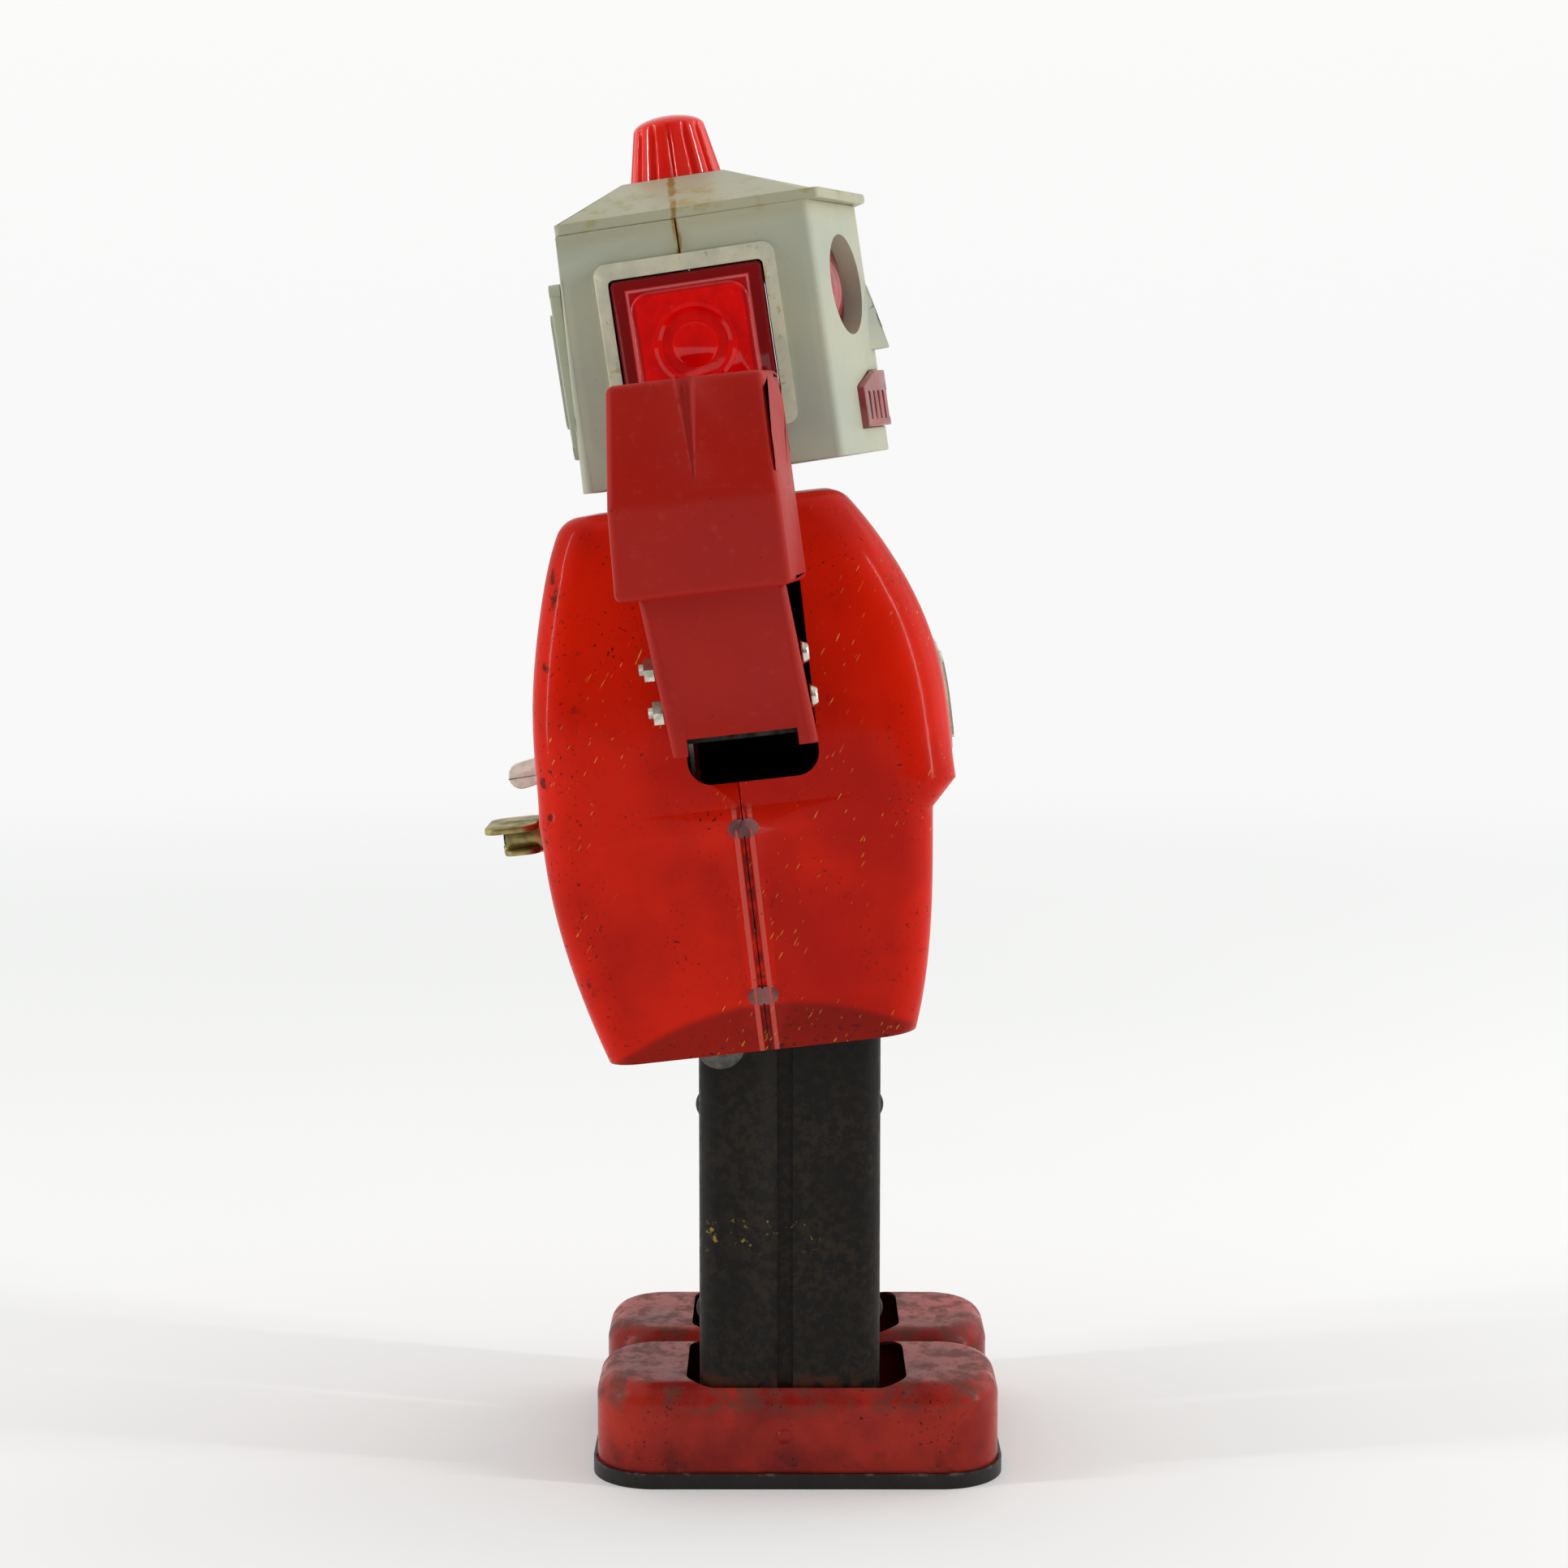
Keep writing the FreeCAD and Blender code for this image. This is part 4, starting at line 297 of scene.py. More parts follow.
def torso_enamel(colours):
    """Stoving enamel over lithographed tinplate: smooth and wet-looking, pin-holed with rust at bends."""
    gloss = {"Coat Weight": 0.15, "Coat Roughness": 0.12, "IOR": 1.5, "Specular IOR Level": 0.02}
    f = Finish("stoving_enamel_red", **gloss)
    hem_shade_brown, bead_highlight_pink, seam_stain, old_rust = "#5E130A", "#D0574C", "#551410", "#2A0D09"
    x, y, z = f.split(f.local(TORSO))
    tone = f.step(f.noise(38, 4), 0.35, 0.7)
    base = f.mix(f.math("MULTIPLY", tone, 0.85), colours.enamel_red, colours.enamel_deep)
    # the side's hem turns in along a low arch; below it the enamel is painted darker brown, painted shade of the
    # turned-in fold
    across = f.math("ABSOLUTE", x)
    from_crown = f.math("SUBTRACT", y, 0.002)
    arch = f.math("SUBTRACT", 0.0165, f.math("MULTIPLY", f.math("POWER", from_crown, 2.0), 9.0))
    below = f.step(f.math("SUBTRACT", arch, z), -0.0008, 0.0012)
    side = f.step(across, 0.036, 0.040)
    hem_shade = f.math("MULTIPLY", below, side)
    base = f.mix(f.math("MULTIPLY", hem_shade, 0.62), base, hem_shade_brown)
    # the rolled seam edges are painted pale as painted highlights along the two beads, and the gap between them
    # is stained
    seam = f.math("MULTIPLY", side, f.step(z, 0.0605, 0.0585))
    from_seam = f.math("ABSOLUTE", f.math("SUBTRACT", y, SEAM_BACK))
    edge_band = f.math("MULTIPLY", f.band(from_seam, 0.0016, 0.0003, 0.0004), seam)
    base = f.mix(f.math("MULTIPLY", edge_band, 0.8), base, bead_highlight_pink)
    stain = f.math("MULTIPLY", f.step(from_seam, 0.0009, 0.0006), f.step(f.noise(2.5, 4, 0.7), 0.42, 0.62))
    base = f.mix(f.math("MULTIPLY", f.math("MULTIPLY", stain, seam), 0.8), base, seam_stain)
    # crazed and thinned enamel round the hem, the chest's overhang and the waist crease
    low = f.step(z, 0.006, 0.016, 1.0, 0.0)
    lip = f.math("MULTIPLY", f.band(z, 0.057, 0.002, 0.006), f.step(y, -0.020, -0.034))
    crease = f.band(z, 0.0605, 0.0008, 0.004)
    worn = f.math("MAXIMUM", f.math("MAXIMUM", low, lip), f.math("MULTIPLY", crease, 0.45))
    edge_back = f.math("MULTIPLY", f.band(y, 0.040, 0.003, 0.008), 0.8)
    worn = f.math("MAXIMUM", worn, edge_back)
    patches = f.noise(7, 5, 0.65)
    # pin-holes are 0.2 to 0.6 mm across and gather in patches
    holes = f.step(f.noise(0.9, 2, 0.6), 0.635, 0.69)
    gather = f.step(f.noise(16, 3), 0.44, 0.62)
    specks = f.math("MULTIPLY", holes, f.math("MAXIMUM", f.math("MULTIPLY", gather, 0.85), worn))
    loose = f.step(f.math("ADD", worn, f.step(f.noise(22, 2), 0.66, 0.74)), 0.35, 0.9)
    flakes = f.math("MULTIPLY", f.step(patches, 0.60, 0.68), loose)
    rusty = f.math("MAXIMUM", specks, f.math("MULTIPLY", flakes, 0.9))
    # scratches show the gold undercoat: hairlines a few millimetres long
    slant = f.local(TORSO @ Matrix.Rotation(0.6, 4, "X"), (1, 5.5, 0.55))
    line = f.step(f.noise(1.7, 1, 0.4, slant), 0.735, 0.76)
    nick = f.step(f.noise(1.3, 3, 0.7), 0.745, 0.77)
    gold = f.math("MULTIPLY", f.math("MAXIMUM", line, nick), f.step(f.noise(26, 2), 0.47, 0.6))
    base = f.mix(gold, base, colours.litho_gold)
    base = f.mix(rusty, base, f.mix(f.noise(1.5, 2), colours.rust, old_rust))
    dent = f.bump(f.noise(30, 2), 0.5)
    skin = f.bump(f.noise(1.6, 2), 0.012, dent)
    pitted = f.bump(f.math("SUBTRACT", 1.0, rusty), 0.06, skin)
    rough = f.math("ADD", f.math("MULTIPLY", rusty, 0.5), f.math("MULTIPLY", f.noise(9, 4), 0.22))
    return f.use(Base_Color=base, Normal=pitted, Coat_Normal=skin, Roughness=f.math("ADD", rough, 0.2))


def foot_enamel(colours):
    """The same enamel on the feet, darker, scuffed dull along the rounded top edge and low on the sides."""
    gloss = {"Coat Weight": 0.06, "Coat Roughness": 0.2, "IOR": 1.5, "Specular IOR Level": 0.14}
    f = Finish("foot_enamel_red", **gloss)
    deep, dust, toe_brown, old_rust = "#7C1512", "#5B3A30", "#3C1512", "#2E0F0B"
    x, y, z = f.split(f.coords)
    tone = f.step(f.noise(18, 5), 0.3, 0.7)
    base = f.mix(tone, colours.foot_red, deep)
    edge_band = f.math("MULTIPLY", f.band(z, 0.0205, 0.0016, 0.004), f.step(f.noise(5, 5, 0.7), 0.42, 0.62))
    edge_band = f.math("MULTIPLY", edge_band, 0.75)
    base = f.mix(edge_band, base, dust)
    toe = f.math("MULTIPLY", f.step(z, 0.012, 0.003), f.step(f.noise(6, 4), 0.48, 0.62))
    base = f.mix(f.math("MULTIPLY", toe, 0.6), base, toe_brown)
    holes = f.math("MULTIPLY", f.step(f.noise(0.9, 2, 0.6), 0.63, 0.70), f.step(f.noise(12, 3), 0.42, 0.62))
    base = f.mix(holes, base, old_rust)
    skin = f.bump(f.noise(14, 2), 0.25)
    rough = f.math("ADD", 0.27, f.math("MULTIPLY", f.math("MAXIMUM", edge_band, holes), 0.4))
    return f.use(Base_Color=base, Normal=f.bump(f.math("SUBTRACT", 1.0, holes), 0.05, skin), Roughness=rough)


def leg_enamel(colours):
    """Black enamel gone brown and dull in fine mottles, with a yellow paint scrape low on the leg."""
    f = Finish("leg_enamel_black", **{"IOR": 1.5, "Specular IOR Level": 0.1})
    brown, red_rust, scraped_yellow = "#342C25", "#5A2A18", "#8E7C30"
    x, y, z = f.split(f.coords)
    mottle = f.step(f.noise(2.2, 5, 0.7), 0.42, 0.62)
    cloud = f.step(f.noise(20, 3), 0.4, 0.66)
    browned = f.math("MULTIPLY", mottle, f.math("ADD", 0.35, f.math("MULTIPLY", cloud, 0.5)))
    base = f.mix(browned, colours.leg_black, brown)
    rusty = f.math("MULTIPLY", f.step(z, 0.026, 0.020), f.step(f.noise(4, 4), 0.4, 0.6))
    base = f.mix(rusty, base, red_rust)
    near = f.math("MULTIPLY", f.band(z, 0.056, 0.0015, 0.004), f.step(y, -0.020, -0.012))
    scrape = f.math("MULTIPLY", near, f.step(f.noise(2.4, 5, 0.75), 0.60, 0.64))
    base = f.mix(scrape, base, scraped_yellow)
    skin = f.bump(f.noise(1.1, 3), 0.03, f.bump(f.noise(16, 2), 0.3))
    rough = f.math("ADD", 0.38, f.math("MULTIPLY", mottle, 0.2))
    return f.use(Base_Color=base, Normal=skin, Roughness=rough)


def black_tin(colours):
    """Black enamelled tin of the sole plate, worn to grey along its rim."""
    f = Finish("sole_enamel_black", **{"IOR": 1.5, "Specular IOR Level": 0.25})
    x, y, z = f.split(f.coords)
    rub = f.math("MULTIPLY", f.step(z, 0.0026, 0.0034), f.step(f.noise(3, 4, 0.7), 0.5, 0.65))
    black, dull, worn_grey = "#151413", "#2B2724", "#6B625A"
    base = f.mix(f.noise(4, 4), black, dull)
    base = f.mix(f.math("MULTIPLY", rub, 0.7), base, worn_grey)
    rough = f.math("ADD", 0.4, f.math("MULTIPLY", rub, 0.2))
    return f.use(Base_Color=base, Normal=f.bump(f.noise(6, 3), 0.08), Roughness=rough)


def arm_plastic(colours):
    """Injection-moulded polystyrene, self-coloured red, satin from handling, faintly paler in scattered scuffed
    patches.
    """
    f = Finish("polystyrene_red", **{"IOR": 1.55, "Specular IOR Level": 0.14})
    deep, scuffed, nicked = "#9A1917", "#C65A50", "#4E0F0D"
    tone = f.step(f.noise(24, 4), 0.35, 0.7)
    base = f.mix(f.math("MULTIPLY", tone, 0.45), colours.plastic_red, deep)
    haze = f.math("MULTIPLY", f.step(f.noise(2.6, 5, 0.7), 0.55, 0.8), 0.22)
    base = f.mix(haze, base, scuffed)
    nicks = f.step(f.noise(1.1, 2, 0.6), 0.72, 0.75)
    base = f.mix(f.math("MULTIPLY", nicks, 0.6), base, nicked)
    rough = f.math("ADD", 0.34, f.math("MULTIPLY", f.noise(5, 5, 0.7), 0.2))
    skin = f.bump(f.noise(2.0, 3), 0.015, f.bump(f.noise(22, 1), 0.25))
    return f.use(Base_Color=base, Normal=skin, Roughness=rough)


def head_plastic(colours):
    """Injection-moulded polystyrene, pale grey-green, with old glue in the joint and grime on the roof."""
    f = Finish("polystyrene_grey", **{"IOR": 1.55, "Specular IOR Level": 0.3})
    cool_grey, old_glue = "#ABB0A0", "#8E7434"
    x, y, z = f.split(f.local(HEAD))
    base = f.mix(f.step(f.noise(20, 4), 0.3, 0.75), colours.head_grey, cool_grey)
    wander = f.math("MULTIPLY", f.math("SUBTRACT", f.noise(3.5, 3), 0.5), 0.0022)
    line = f.band(f.math("ADD", y, wander), 0.0, 0.0003, 0.0007)
    above = f.math("MAXIMUM", f.step(z, 0.044, 0.0465), f.step(z, 0.0085, 0.007))
    glue = f.math("MULTIPLY", f.math("MULTIPLY", line, above), f.step(f.noise(5, 4), 0.25, 0.55))
    halo = f.math("MULTIPLY", f.band(y, 0.0, 0.0006, 0.0035), 0.25)
    grime = f.math("MULTIPLY", f.step(z, 0.050, 0.0565), f.step(f.noise(5, 5, 0.7), 0.42, 0.68))
    grime = f.math("MULTIPLY", grime, f.step(z, 0.0665, 0.060))
    grime = f.math("MAXIMUM", grime, f.math("MULTIPLY", f.step(z, 0.0505, 0.053), 0.3))
    dirty = f.math("MAXIMUM", f.math("MULTIPLY", grime, 0.75), f.math("MULTIPLY", halo, above))
    flecks = f.math("MULTIPLY", f.step(f.noise(1.0, 2), 0.70, 0.74), 0.5)
    base = f.mix(f.math("MAXIMUM", dirty, flecks), base, colours.head_yellow)
    base = f.mix(glue, base, old_glue)
    rough = f.math("ADD", 0.36, f.math("MULTIPLY", f.noise(4, 4), 0.14))
    skin = f.bump(f.noise(2.4, 3), 0.012, f.bump(f.noise(26, 1), 0.2))
    return f.use(Base_Color=base, Normal=skin, Roughness=rough)


def cream_plastic(colours):
    """The side frames' polystyrene, yellowed to cream where it stands proud."""
    f = Finish("polystyrene_cream", **{"IOR": 1.55, "Specular IOR Level": 0.3})
    base = f.mix(f.step(f.noise(6, 4), 0.35, 0.7), colours.frame_cream, "#BDBFAC")
    base = f.mix(f.math("MULTIPLY", f.step(f.noise(2.2, 4), 0.6, 0.7), 0.6), base, colours.head_yellow)
    rough = f.math("ADD", 0.36, f.math("MULTIPLY", f.noise(4, 4), 0.14))
    return f.use(Base_Color=base, Normal=f.bump(f.noise(2.4, 3), 0.015), Roughness=rough)


def clear_colour(name, code, deep, transmission, rough=0.06, border=None):
    """Transparent dyed polystyrene: glossy, and deepest where it is thick. Faint moulding streaks."""
    gloss = {"IOR": 1.57, "Coat Weight": 0.1, "Coat Roughness": 0.04, "Specular IOR Level": 0.25}
    f = Finish(name, **gloss, **{"Transmission Weight": transmission, "Roughness": rough})
    base = f.mix(f.step(f.noise(7, 3), 0.3, 0.75), code, deep)
    if border:
        # the stepped edge of a side lens is thick, so it reads as maroon
        x, y, z = f.split(f.local(HEAD))
        across = f.math("ABSOLUTE", f.math("SUBTRACT", y, LENS_MIDDLE.y))
        up = f.math("ABSOLUTE", f.math("SUBTRACT", z, LENS_MIDDLE.z))
        away = f.math("MAXIMUM", across, up)
        base = f.mix(f.step(away, 0.0112, 0.0116, 0.0, 0.55), base, border)
        base = f.mix(f.step(away, 0.0131, 0.0134), base, border)
        # a thin pale pink line round the step's edge is a painted highlight
        base = f.mix(f.band(away, 0.0128, 0.0001, 0.0003), base, "#E07070")
    scuff = f.step(f.noise(1.2, 4, 0.75), 0.62, 0.72)
    base = f.mix(f.math("MULTIPLY", scuff, 0.12), base, "#F0A090")
    return f.use(Base_Color=base, Normal=f.bump(f.noise(3, 2), 0.02))


def metal(name, code, deep, rough, grain, spots=0.0):
    """Bare or plated metal with brushed grain and tarnish that follow a size in millimetres."""
    f = Finish(name, **{"Metallic": 1.0})
    base = f.mix(f.step(f.noise(grain * 6, 4), 0.35, 0.7), code, deep)
    pits = f.step(f.noise(grain, 3, 0.7), 0.62 - spots * 0.1, 0.70)
    base = f.mix(f.math("MULTIPLY", pits, 0.25 + spots), base, deep)
    rough = f.math("ADD", rough - 0.1, f.math("MULTIPLY", f.noise(grain * 3, 4), 0.25))
    return f.use(Base_Color=base, Normal=f.bump(f.noise(grain, 3), 0.02), Roughness=rough)


def dial_print(colours):
    """Lithographed tin behind the window: a plain pair of gauges in gold, red and black on cream."""
    f = Finish("lithographed_dial", **{"Roughness": 0.35, "Coat Weight": 0.4, "IOR": 1.5})
    x, y, z = f.split(f.local(TORSO))
    off = f.math("SUBTRACT", f.math("ABSOLUTE", x), 0.0100)
    up = f.math("SUBTRACT", z, 0.0755)
    reach = f.math("SQRT", f.math("ADD", f.math("MULTIPLY", off, off), f.math("MULTIPLY", up, up)))
    angle = f.math("ARCTAN2", up, off)
    ticks = f.step(f.math("COSINE", f.math("MULTIPLY", angle, 24.0)), 0.55, 0.75)
    face = f.step(reach, 0.0086, 0.0084)
    ring = f.band(reach, 0.0080, 0.0003, 0.0002)
    base = f.mix(face, colours.litho_gold, "#E9E3CB")
    base = f.mix(ring, base, "#1B1A19")
    base = f.mix(f.math("MULTIPLY", ticks, f.band(reach, 0.0066, 0.0008, 0.0002)), base, "#1B1A19")
    base = f.mix(f.step(reach, 0.0032, 0.0030), base, "#B01810")
    base = f.mix(f.band(x, 0.0, 0.0004, 0.0002), base, "#8A1A12")
    return f.use(Base_Color=base, Normal=f.bump(f.noise(5, 2), 0.02))


FINISHES = {}


def finish(name):
    return FINISHES[name]


class ROBOT_OT_finishes(bpy.types.Operator):
    """Makes every material that the robot's pieces use"""

    bl_idname = "robot.finishes"
    bl_label = "Finishes"

    def execute(self, context):
        colours = context.scene.robot_colours
        FINISHES.update(
            {
                "red_tin": torso_enamel(colours),
                "foot_red_tin": foot_enamel(colours),
                "dark_tin": leg_enamel(colours),
                "black_tin": black_tin(colours),
                "red_plastic": arm_plastic(colours),
                "grey_plastic": head_plastic(colours),
                "frame_plastic": cream_plastic(colours),
                "red_lens": clear_colour("transparent_red", colours.lens_red, "#E00004", 0.12, border="#8A0C10"),
                "beacon": clear_colour("transparent_bright_red", "#FF2814", "#FA1208", 0.22),
                "eye_lens": clear_colour("transparent_pink", colours.eye_pink, "#8E1A20", 0.3, 0.15),
                "mouth_plastic": clear_colour("transparent_rose", colours.mouth_pink, "#8C3A38", 0.3, 0.2),
                "clear_pane": clear_colour("clear_celluloid", "#F4F1E2", "#E8E0C4", 0.97),
                "maroon_tab": metal("lacquered_tin_tab", "#8E5654", "#5C3436", 0.5, 0.8, 0.3),
                "bright_rim": metal("nickel_plate", "#FBFAF0", "#C8C4B6", 0.4, 0.7, 0.1),
                "nickel": metal("nickel_plate_screw", "#DDD9CE", "#A39C8B", 0.2, 0.5),
                "brass": metal("aged_brass", "#B3A66E", "#756B45", 0.42, 0.8, 0.2),
                "steel": metal("cold_rolled_steel", "#6C6A66", "#3F3B37", 0.45, 0.7, 0.25),
                "spring_steel": metal("blued_steel", "#3C4352", "#23262D", 0.3, 0.6),
                "printed_dial": dial_print(colours),
                "card": metal("black_shade_card", "#141312", "#0C0B0B", 0.8, 0.8),
                "roller_plastic": metal("moulded_black_rubber", "#1C1B1A", "#0E0E0E", 0.6, 0.6),
            }
        )
        # plain rubber and the black card of painted shade, and a lacquer and a tarnish that dull their metals
        dulled = {"roller_plastic": 0.0, "card": 0.0, "maroon_tab": 0.4, "bright_rim": 0.15}
        for name, share in dulled.items():
            FINISHES[name].node_tree.nodes["Principled BSDF"].inputs["Metallic"].default_value = share
        return {"FINISHED"}


# ---------------------------------------------------------------- pieces
class ROBOT_OT_torso(bpy.types.Operator):
    """Makes the two tin halves of the torso, their rolled seam edges and the folded tabs"""

    bl_idname = "robot.torso"
    bl_label = "Torso"

    def execute(self, context):
        sizes = context.scene.robot_sizes
        for half in ("front", "back"):
            node = f"torso_{half}_shell"
            bm = merged_copy(node)
            self.bead(half, BVHTree.FromBMesh(bm), sizes.bead_radius)
            make_piece(bm, f"torso_{half}_half", "torso", finish("red_tin"), (node,), 38)
        # a black card stands in the chest between the arm slots: painted shade, a dark sheet where the hollow
        # chest is only in shade
        bm = bmesh.new()
        corners = [(-34, 45), (12, 45), (12, 70), (-11.8, 70), (-11.8, 117), (-30, 117)]
        card = bm.faces.new([bm.verts.new((SHADE_CARD_THICK / 2, y * MM, z * MM)) for y, z in corners])
        far = bmesh.ops.extrude_face_region(bm, geom=[card], use_keep_orig=True)["geom"]
        far = [v for v in far if isinstance(v, bmesh.types.BMVert)]
        bmesh.ops.translate(bm, vec=(-SHADE_CARD_THICK, 0, 0), verts=far)
        place(bm, TORSO)
        make_piece(bm, "chest_shade_card", "torso", finish("card"), (), 30)
        bm = merged_copy("seam_tabs")
        flatten(bm, 3)
        make_piece(bm, "seam_tab_folds", "torso", finish("maroon_tab"), ("seam_tabs",), 40)
        return {"FINISHED"}

    def bead(self, half, tree, radius):
        """The round rolled edge of one half, laid along the side walls from hem to slot."""
        back = SEAM_BACK + (1.6 if half == "back" else -1.6) * MM
        stations, first, apart = 15, 7.6 * MM, 3.6 * MM
        bm = bmesh.new()
        for side in (-1, 1):
            rings = []
            for i in range(stations):
                start = TORSO @ Vector((side * 90 * MM, back, first + i * apart))
                hit = tree.ray_cast(start, Vector((-side, 0, 0)))[0]
                middle = hit - Vector((side * 0.1 * MM, 0, 0))
                shrink = 0.6 if i in (0, stations - 1) else 1.0
                spot = Matrix.Translation(middle) @ TORSO.to_3x3().to_4x4()
                ring = bmesh.ops.create_circle(bm, segments=16, radius=radius * shrink, matrix=spot)["verts"]
                rings.append([e for e in bm.edges if all(v in ring for v in e.verts)])
            for a, b in zip(rings, rings[1:]):
                bmesh.ops.bridge_loops(bm, edges=a + b)
            for end in (rings[0], rings[-1]):
                bmesh.ops.contextual_create(bm, geom=end)
        bmesh.ops.recalc_face_normals(bm, faces=bm.faces)
        make_piece(bm, f"seam_bead_{half}", "torso", finish("red_tin"), (), 50)


class ROBOT_OT_chest(bpy.types.Operator):
    """Makes the chest window with its rim and printed plate, the stud and the strap's tabs"""

    bl_idname = "robot.chest"
    bl_label = "Chest"

    def execute(self, context):
        edge = context.scene.robot_sizes.tin_edge
        for node, name, slot in (
            ("chest_window_rim", "window_rim", "bright_rim"),
            ("chest_window_pane", "window_pane", "clear_pane"),
            ("chest_dial_plate", "window_dial", "printed_dial"),
            ("front_stud", "belly_stud", "brass"),
            ("back_strap", "back_tabs", "bright_rim"),
        ):
            bm = merged_copy(node)
            if node == "back_strap":
                flatten(bm)
                soften(bm, edge)
            make_piece(bm, name, "torso", finish(slot), (node,), 30)
        return {"FINISHED"}


class ROBOT_OT_head(bpy.types.Operator):
    """Makes the moulded head: two halves, roof, side frames, back panel and neck"""

    bl_idname = "robot.head"
    bl_label = "Head"

    def execute(self, context):
        edge = context.scene.robot_sizes.head_edge
        for node, name, slot, body, width in (
            ("head_front_shell", "face_half", "grey_plastic", "head", edge),
            ("head_back_shell", "nape_half", "grey_plastic", "head", edge),
            ("head_roof", "roof", "grey_plastic", "head", edge * 1.4),
            ("head_back_panel", "nape_panel", "grey_plastic", "head", edge),
            ("ear_frame_right", "side_frame_right", "frame_plastic", "head", edge * 0.8),
            ("ear_frame_left", "side_frame_left", "frame_plastic", "head", edge * 0.8),
        ):
            bm = merged_copy(node)
            flatten(bm)
            soften(bm, width, 5 * MM, 30)
            make_piece(bm, name, body, finish(slot), (node,), 35)
        bm = merged_copy("neck_collar")
        make_piece(bm, "neck", "torso", finish("grey_plastic"), ("neck_collar",), 35)
        return {"FINISHED"}


class ROBOT_OT_lenses(bpy.types.Operator):
    """Makes the two square side lenses, the eyes and the mouth"""

    bl_idname = "robot.lenses"
    bl_label = "Lenses"

    def execute(self, context):
        sizes = context.scene.robot_sizes
        for side in ("right", "left"):
            bm = bmesh.new()
            rounded_block(bm, sizes.lens_wide, sizes.lens_tall, 1.2 * MM, -1.2 * MM, 1.2 * MM, 1.0 * MM)
            rounded_block(bm, sizes.plateau, sizes.plateau * 0.97, 4.2 * MM, 0.4 * MM, 2.7 * MM, 0.9 * MM)
            ring = sizes.ring_radius
            crown = ((-1.1, 2.4), (-0.8, 3.0), (0, 3.25), (0.8, 3.0), (1.1, 2.4))
            spun(bm, [(ring + out * MM, up * MM) for out, up in crown], 64)
            spun(bm, [(0, 3.1 * MM), (4.2 * MM, 3.1 * MM), (4.7 * MM, 2.9 * MM), (4.9 * MM, 2.4 * MM)], 48)
            spot = HEAD @ Matrix.Translation(LENS_MIDDLE) @ SIDE_WALL
            place(bm, spot, side == "left")
            node = f"ear_lens_{side}"
            make_piece(bm, f"side_lens_{side}", "head", finish("red_lens"), (node,), 30)
            node = f"eye_lens_{side}"
            make_piece(merged_copy(node), f"eye_{side}", "head", finish("eye_lens"), (node,), 30)
        bm = merged_copy("mouth_grille")
        flatten(bm)
        soften(bm, 0.25 * MM, 1.5 * MM, 30, segments=2)
        make_piece(bm, "mouth_bars", "head", finish("mouth_plastic"), ("mouth_grille",), 35)
        return {"FINISHED"}


class ROBOT_OT_beacon(bpy.types.Operator):
    """Turns the beacon and presses its flutes"""

    bl_idname = "robot.beacon"
    bl_label = "Beacon"

    def execute(self, context):
        s = context.scene.robot_sizes
        wall = 1.4 * MM
        rise = 6
        taper = s.beacon_top - s.beacon_base
        sides = [(s.beacon_base + taper * i / rise, s.beacon_tall * i / rise) for i in range(1, rise + 1)]
        dome = [
            (s.beacon_top * math.cos(a), s.beacon_tall + s.beacon_dome * math.sin(a))
            for a in (math.radians(d) for d in (12, 24, 38, 52, 66, 80))
        ]
        inner_rim = (s.beacon_base - wall, 0)
        inside = [(0, s.beacon_tall), (s.beacon_top - wall, s.beacon_tall - wall), inner_rim]
        top = (0, s.beacon_tall + s.beacon_dome)
        bm = bmesh.new()
        spun(bm, [inner_rim, (s.beacon_base, 0), *sides, *dome, top], s.flutes * 12)
        spun(bm, inside, s.flutes * 12)
        bmesh.ops.remove_doubles(bm, verts=bm.verts, dist=0.002 * MM)
        for v in bm.verts:
            reach = math.hypot(v.co.x, v.co.y)
            if reach < s.beacon_top * 0.93 or v.co.z > s.beacon_tall + 0.5 * MM:
                continue
            turn = math.atan2(v.co.y, v.co.x) * s.flutes / (2 * math.pi)
            nearness = abs(turn - round(turn)) * 2
            groove = max(0.0, 1 - nearness / 0.36) ** 0.7
            fade = 0.35 if v.co.z > s.beacon_tall - 0.1 * MM else 1.0
            scale = 1 - 0.75 * MM * groove * fade / reach
            v.co.x *= scale
            v.co.y *= scale
        place(bm, HEAD @ Matrix.Translation((0, -0.85 * MM, 65.0 * MM)))
        make_piece(bm, "beacon_cup", "head", finish("beacon"), ("beacon",), 40)
        return {"FINISHED"}


class ROBOT_OT_arms(bpy.types.Operator):
    """Makes the moulded arms with their screws"""

    bl_idname = "robot.arms"
    bl_label = "Arms"

    def execute(self, context):
        sizes = context.scene.robot_sizes
        home = TORSO.inverted()

        def outer_edge(point):
            """Not the open end, the cut that the bracket enters by, or the flute."""
            local = home @ point
            out = abs(local.x)
            in_flute = abs(local.y - 3.3 * MM) < 5 * MM and out > 78 * MM and local.z > 124.5 * MM
            return local.z > 76 * MM and not (out < 58.5 * MM and local.z < 104 * MM) and not in_flute

        for side in ("right", "left"):
            body = f"arm_{side}"
            bm = merged_copy(f"arm_shell_{side}")
            flatten(bm)
            soften(bm, sizes.plastic_edge, 4 * MM, 16, outer_edge)
            node = f"arm_shell_{side}"
            make_piece(bm, f"arm_moulding_{side}", body, finish("red_plastic"), (node,), 30)
            node = f"arm_screws_{side}"
            bm = merged_copy(node)
            make_piece(bm, f"arm_fixings_{side}", body, finish("nickel"), (node,), 30)
        return {"FINISHED"}


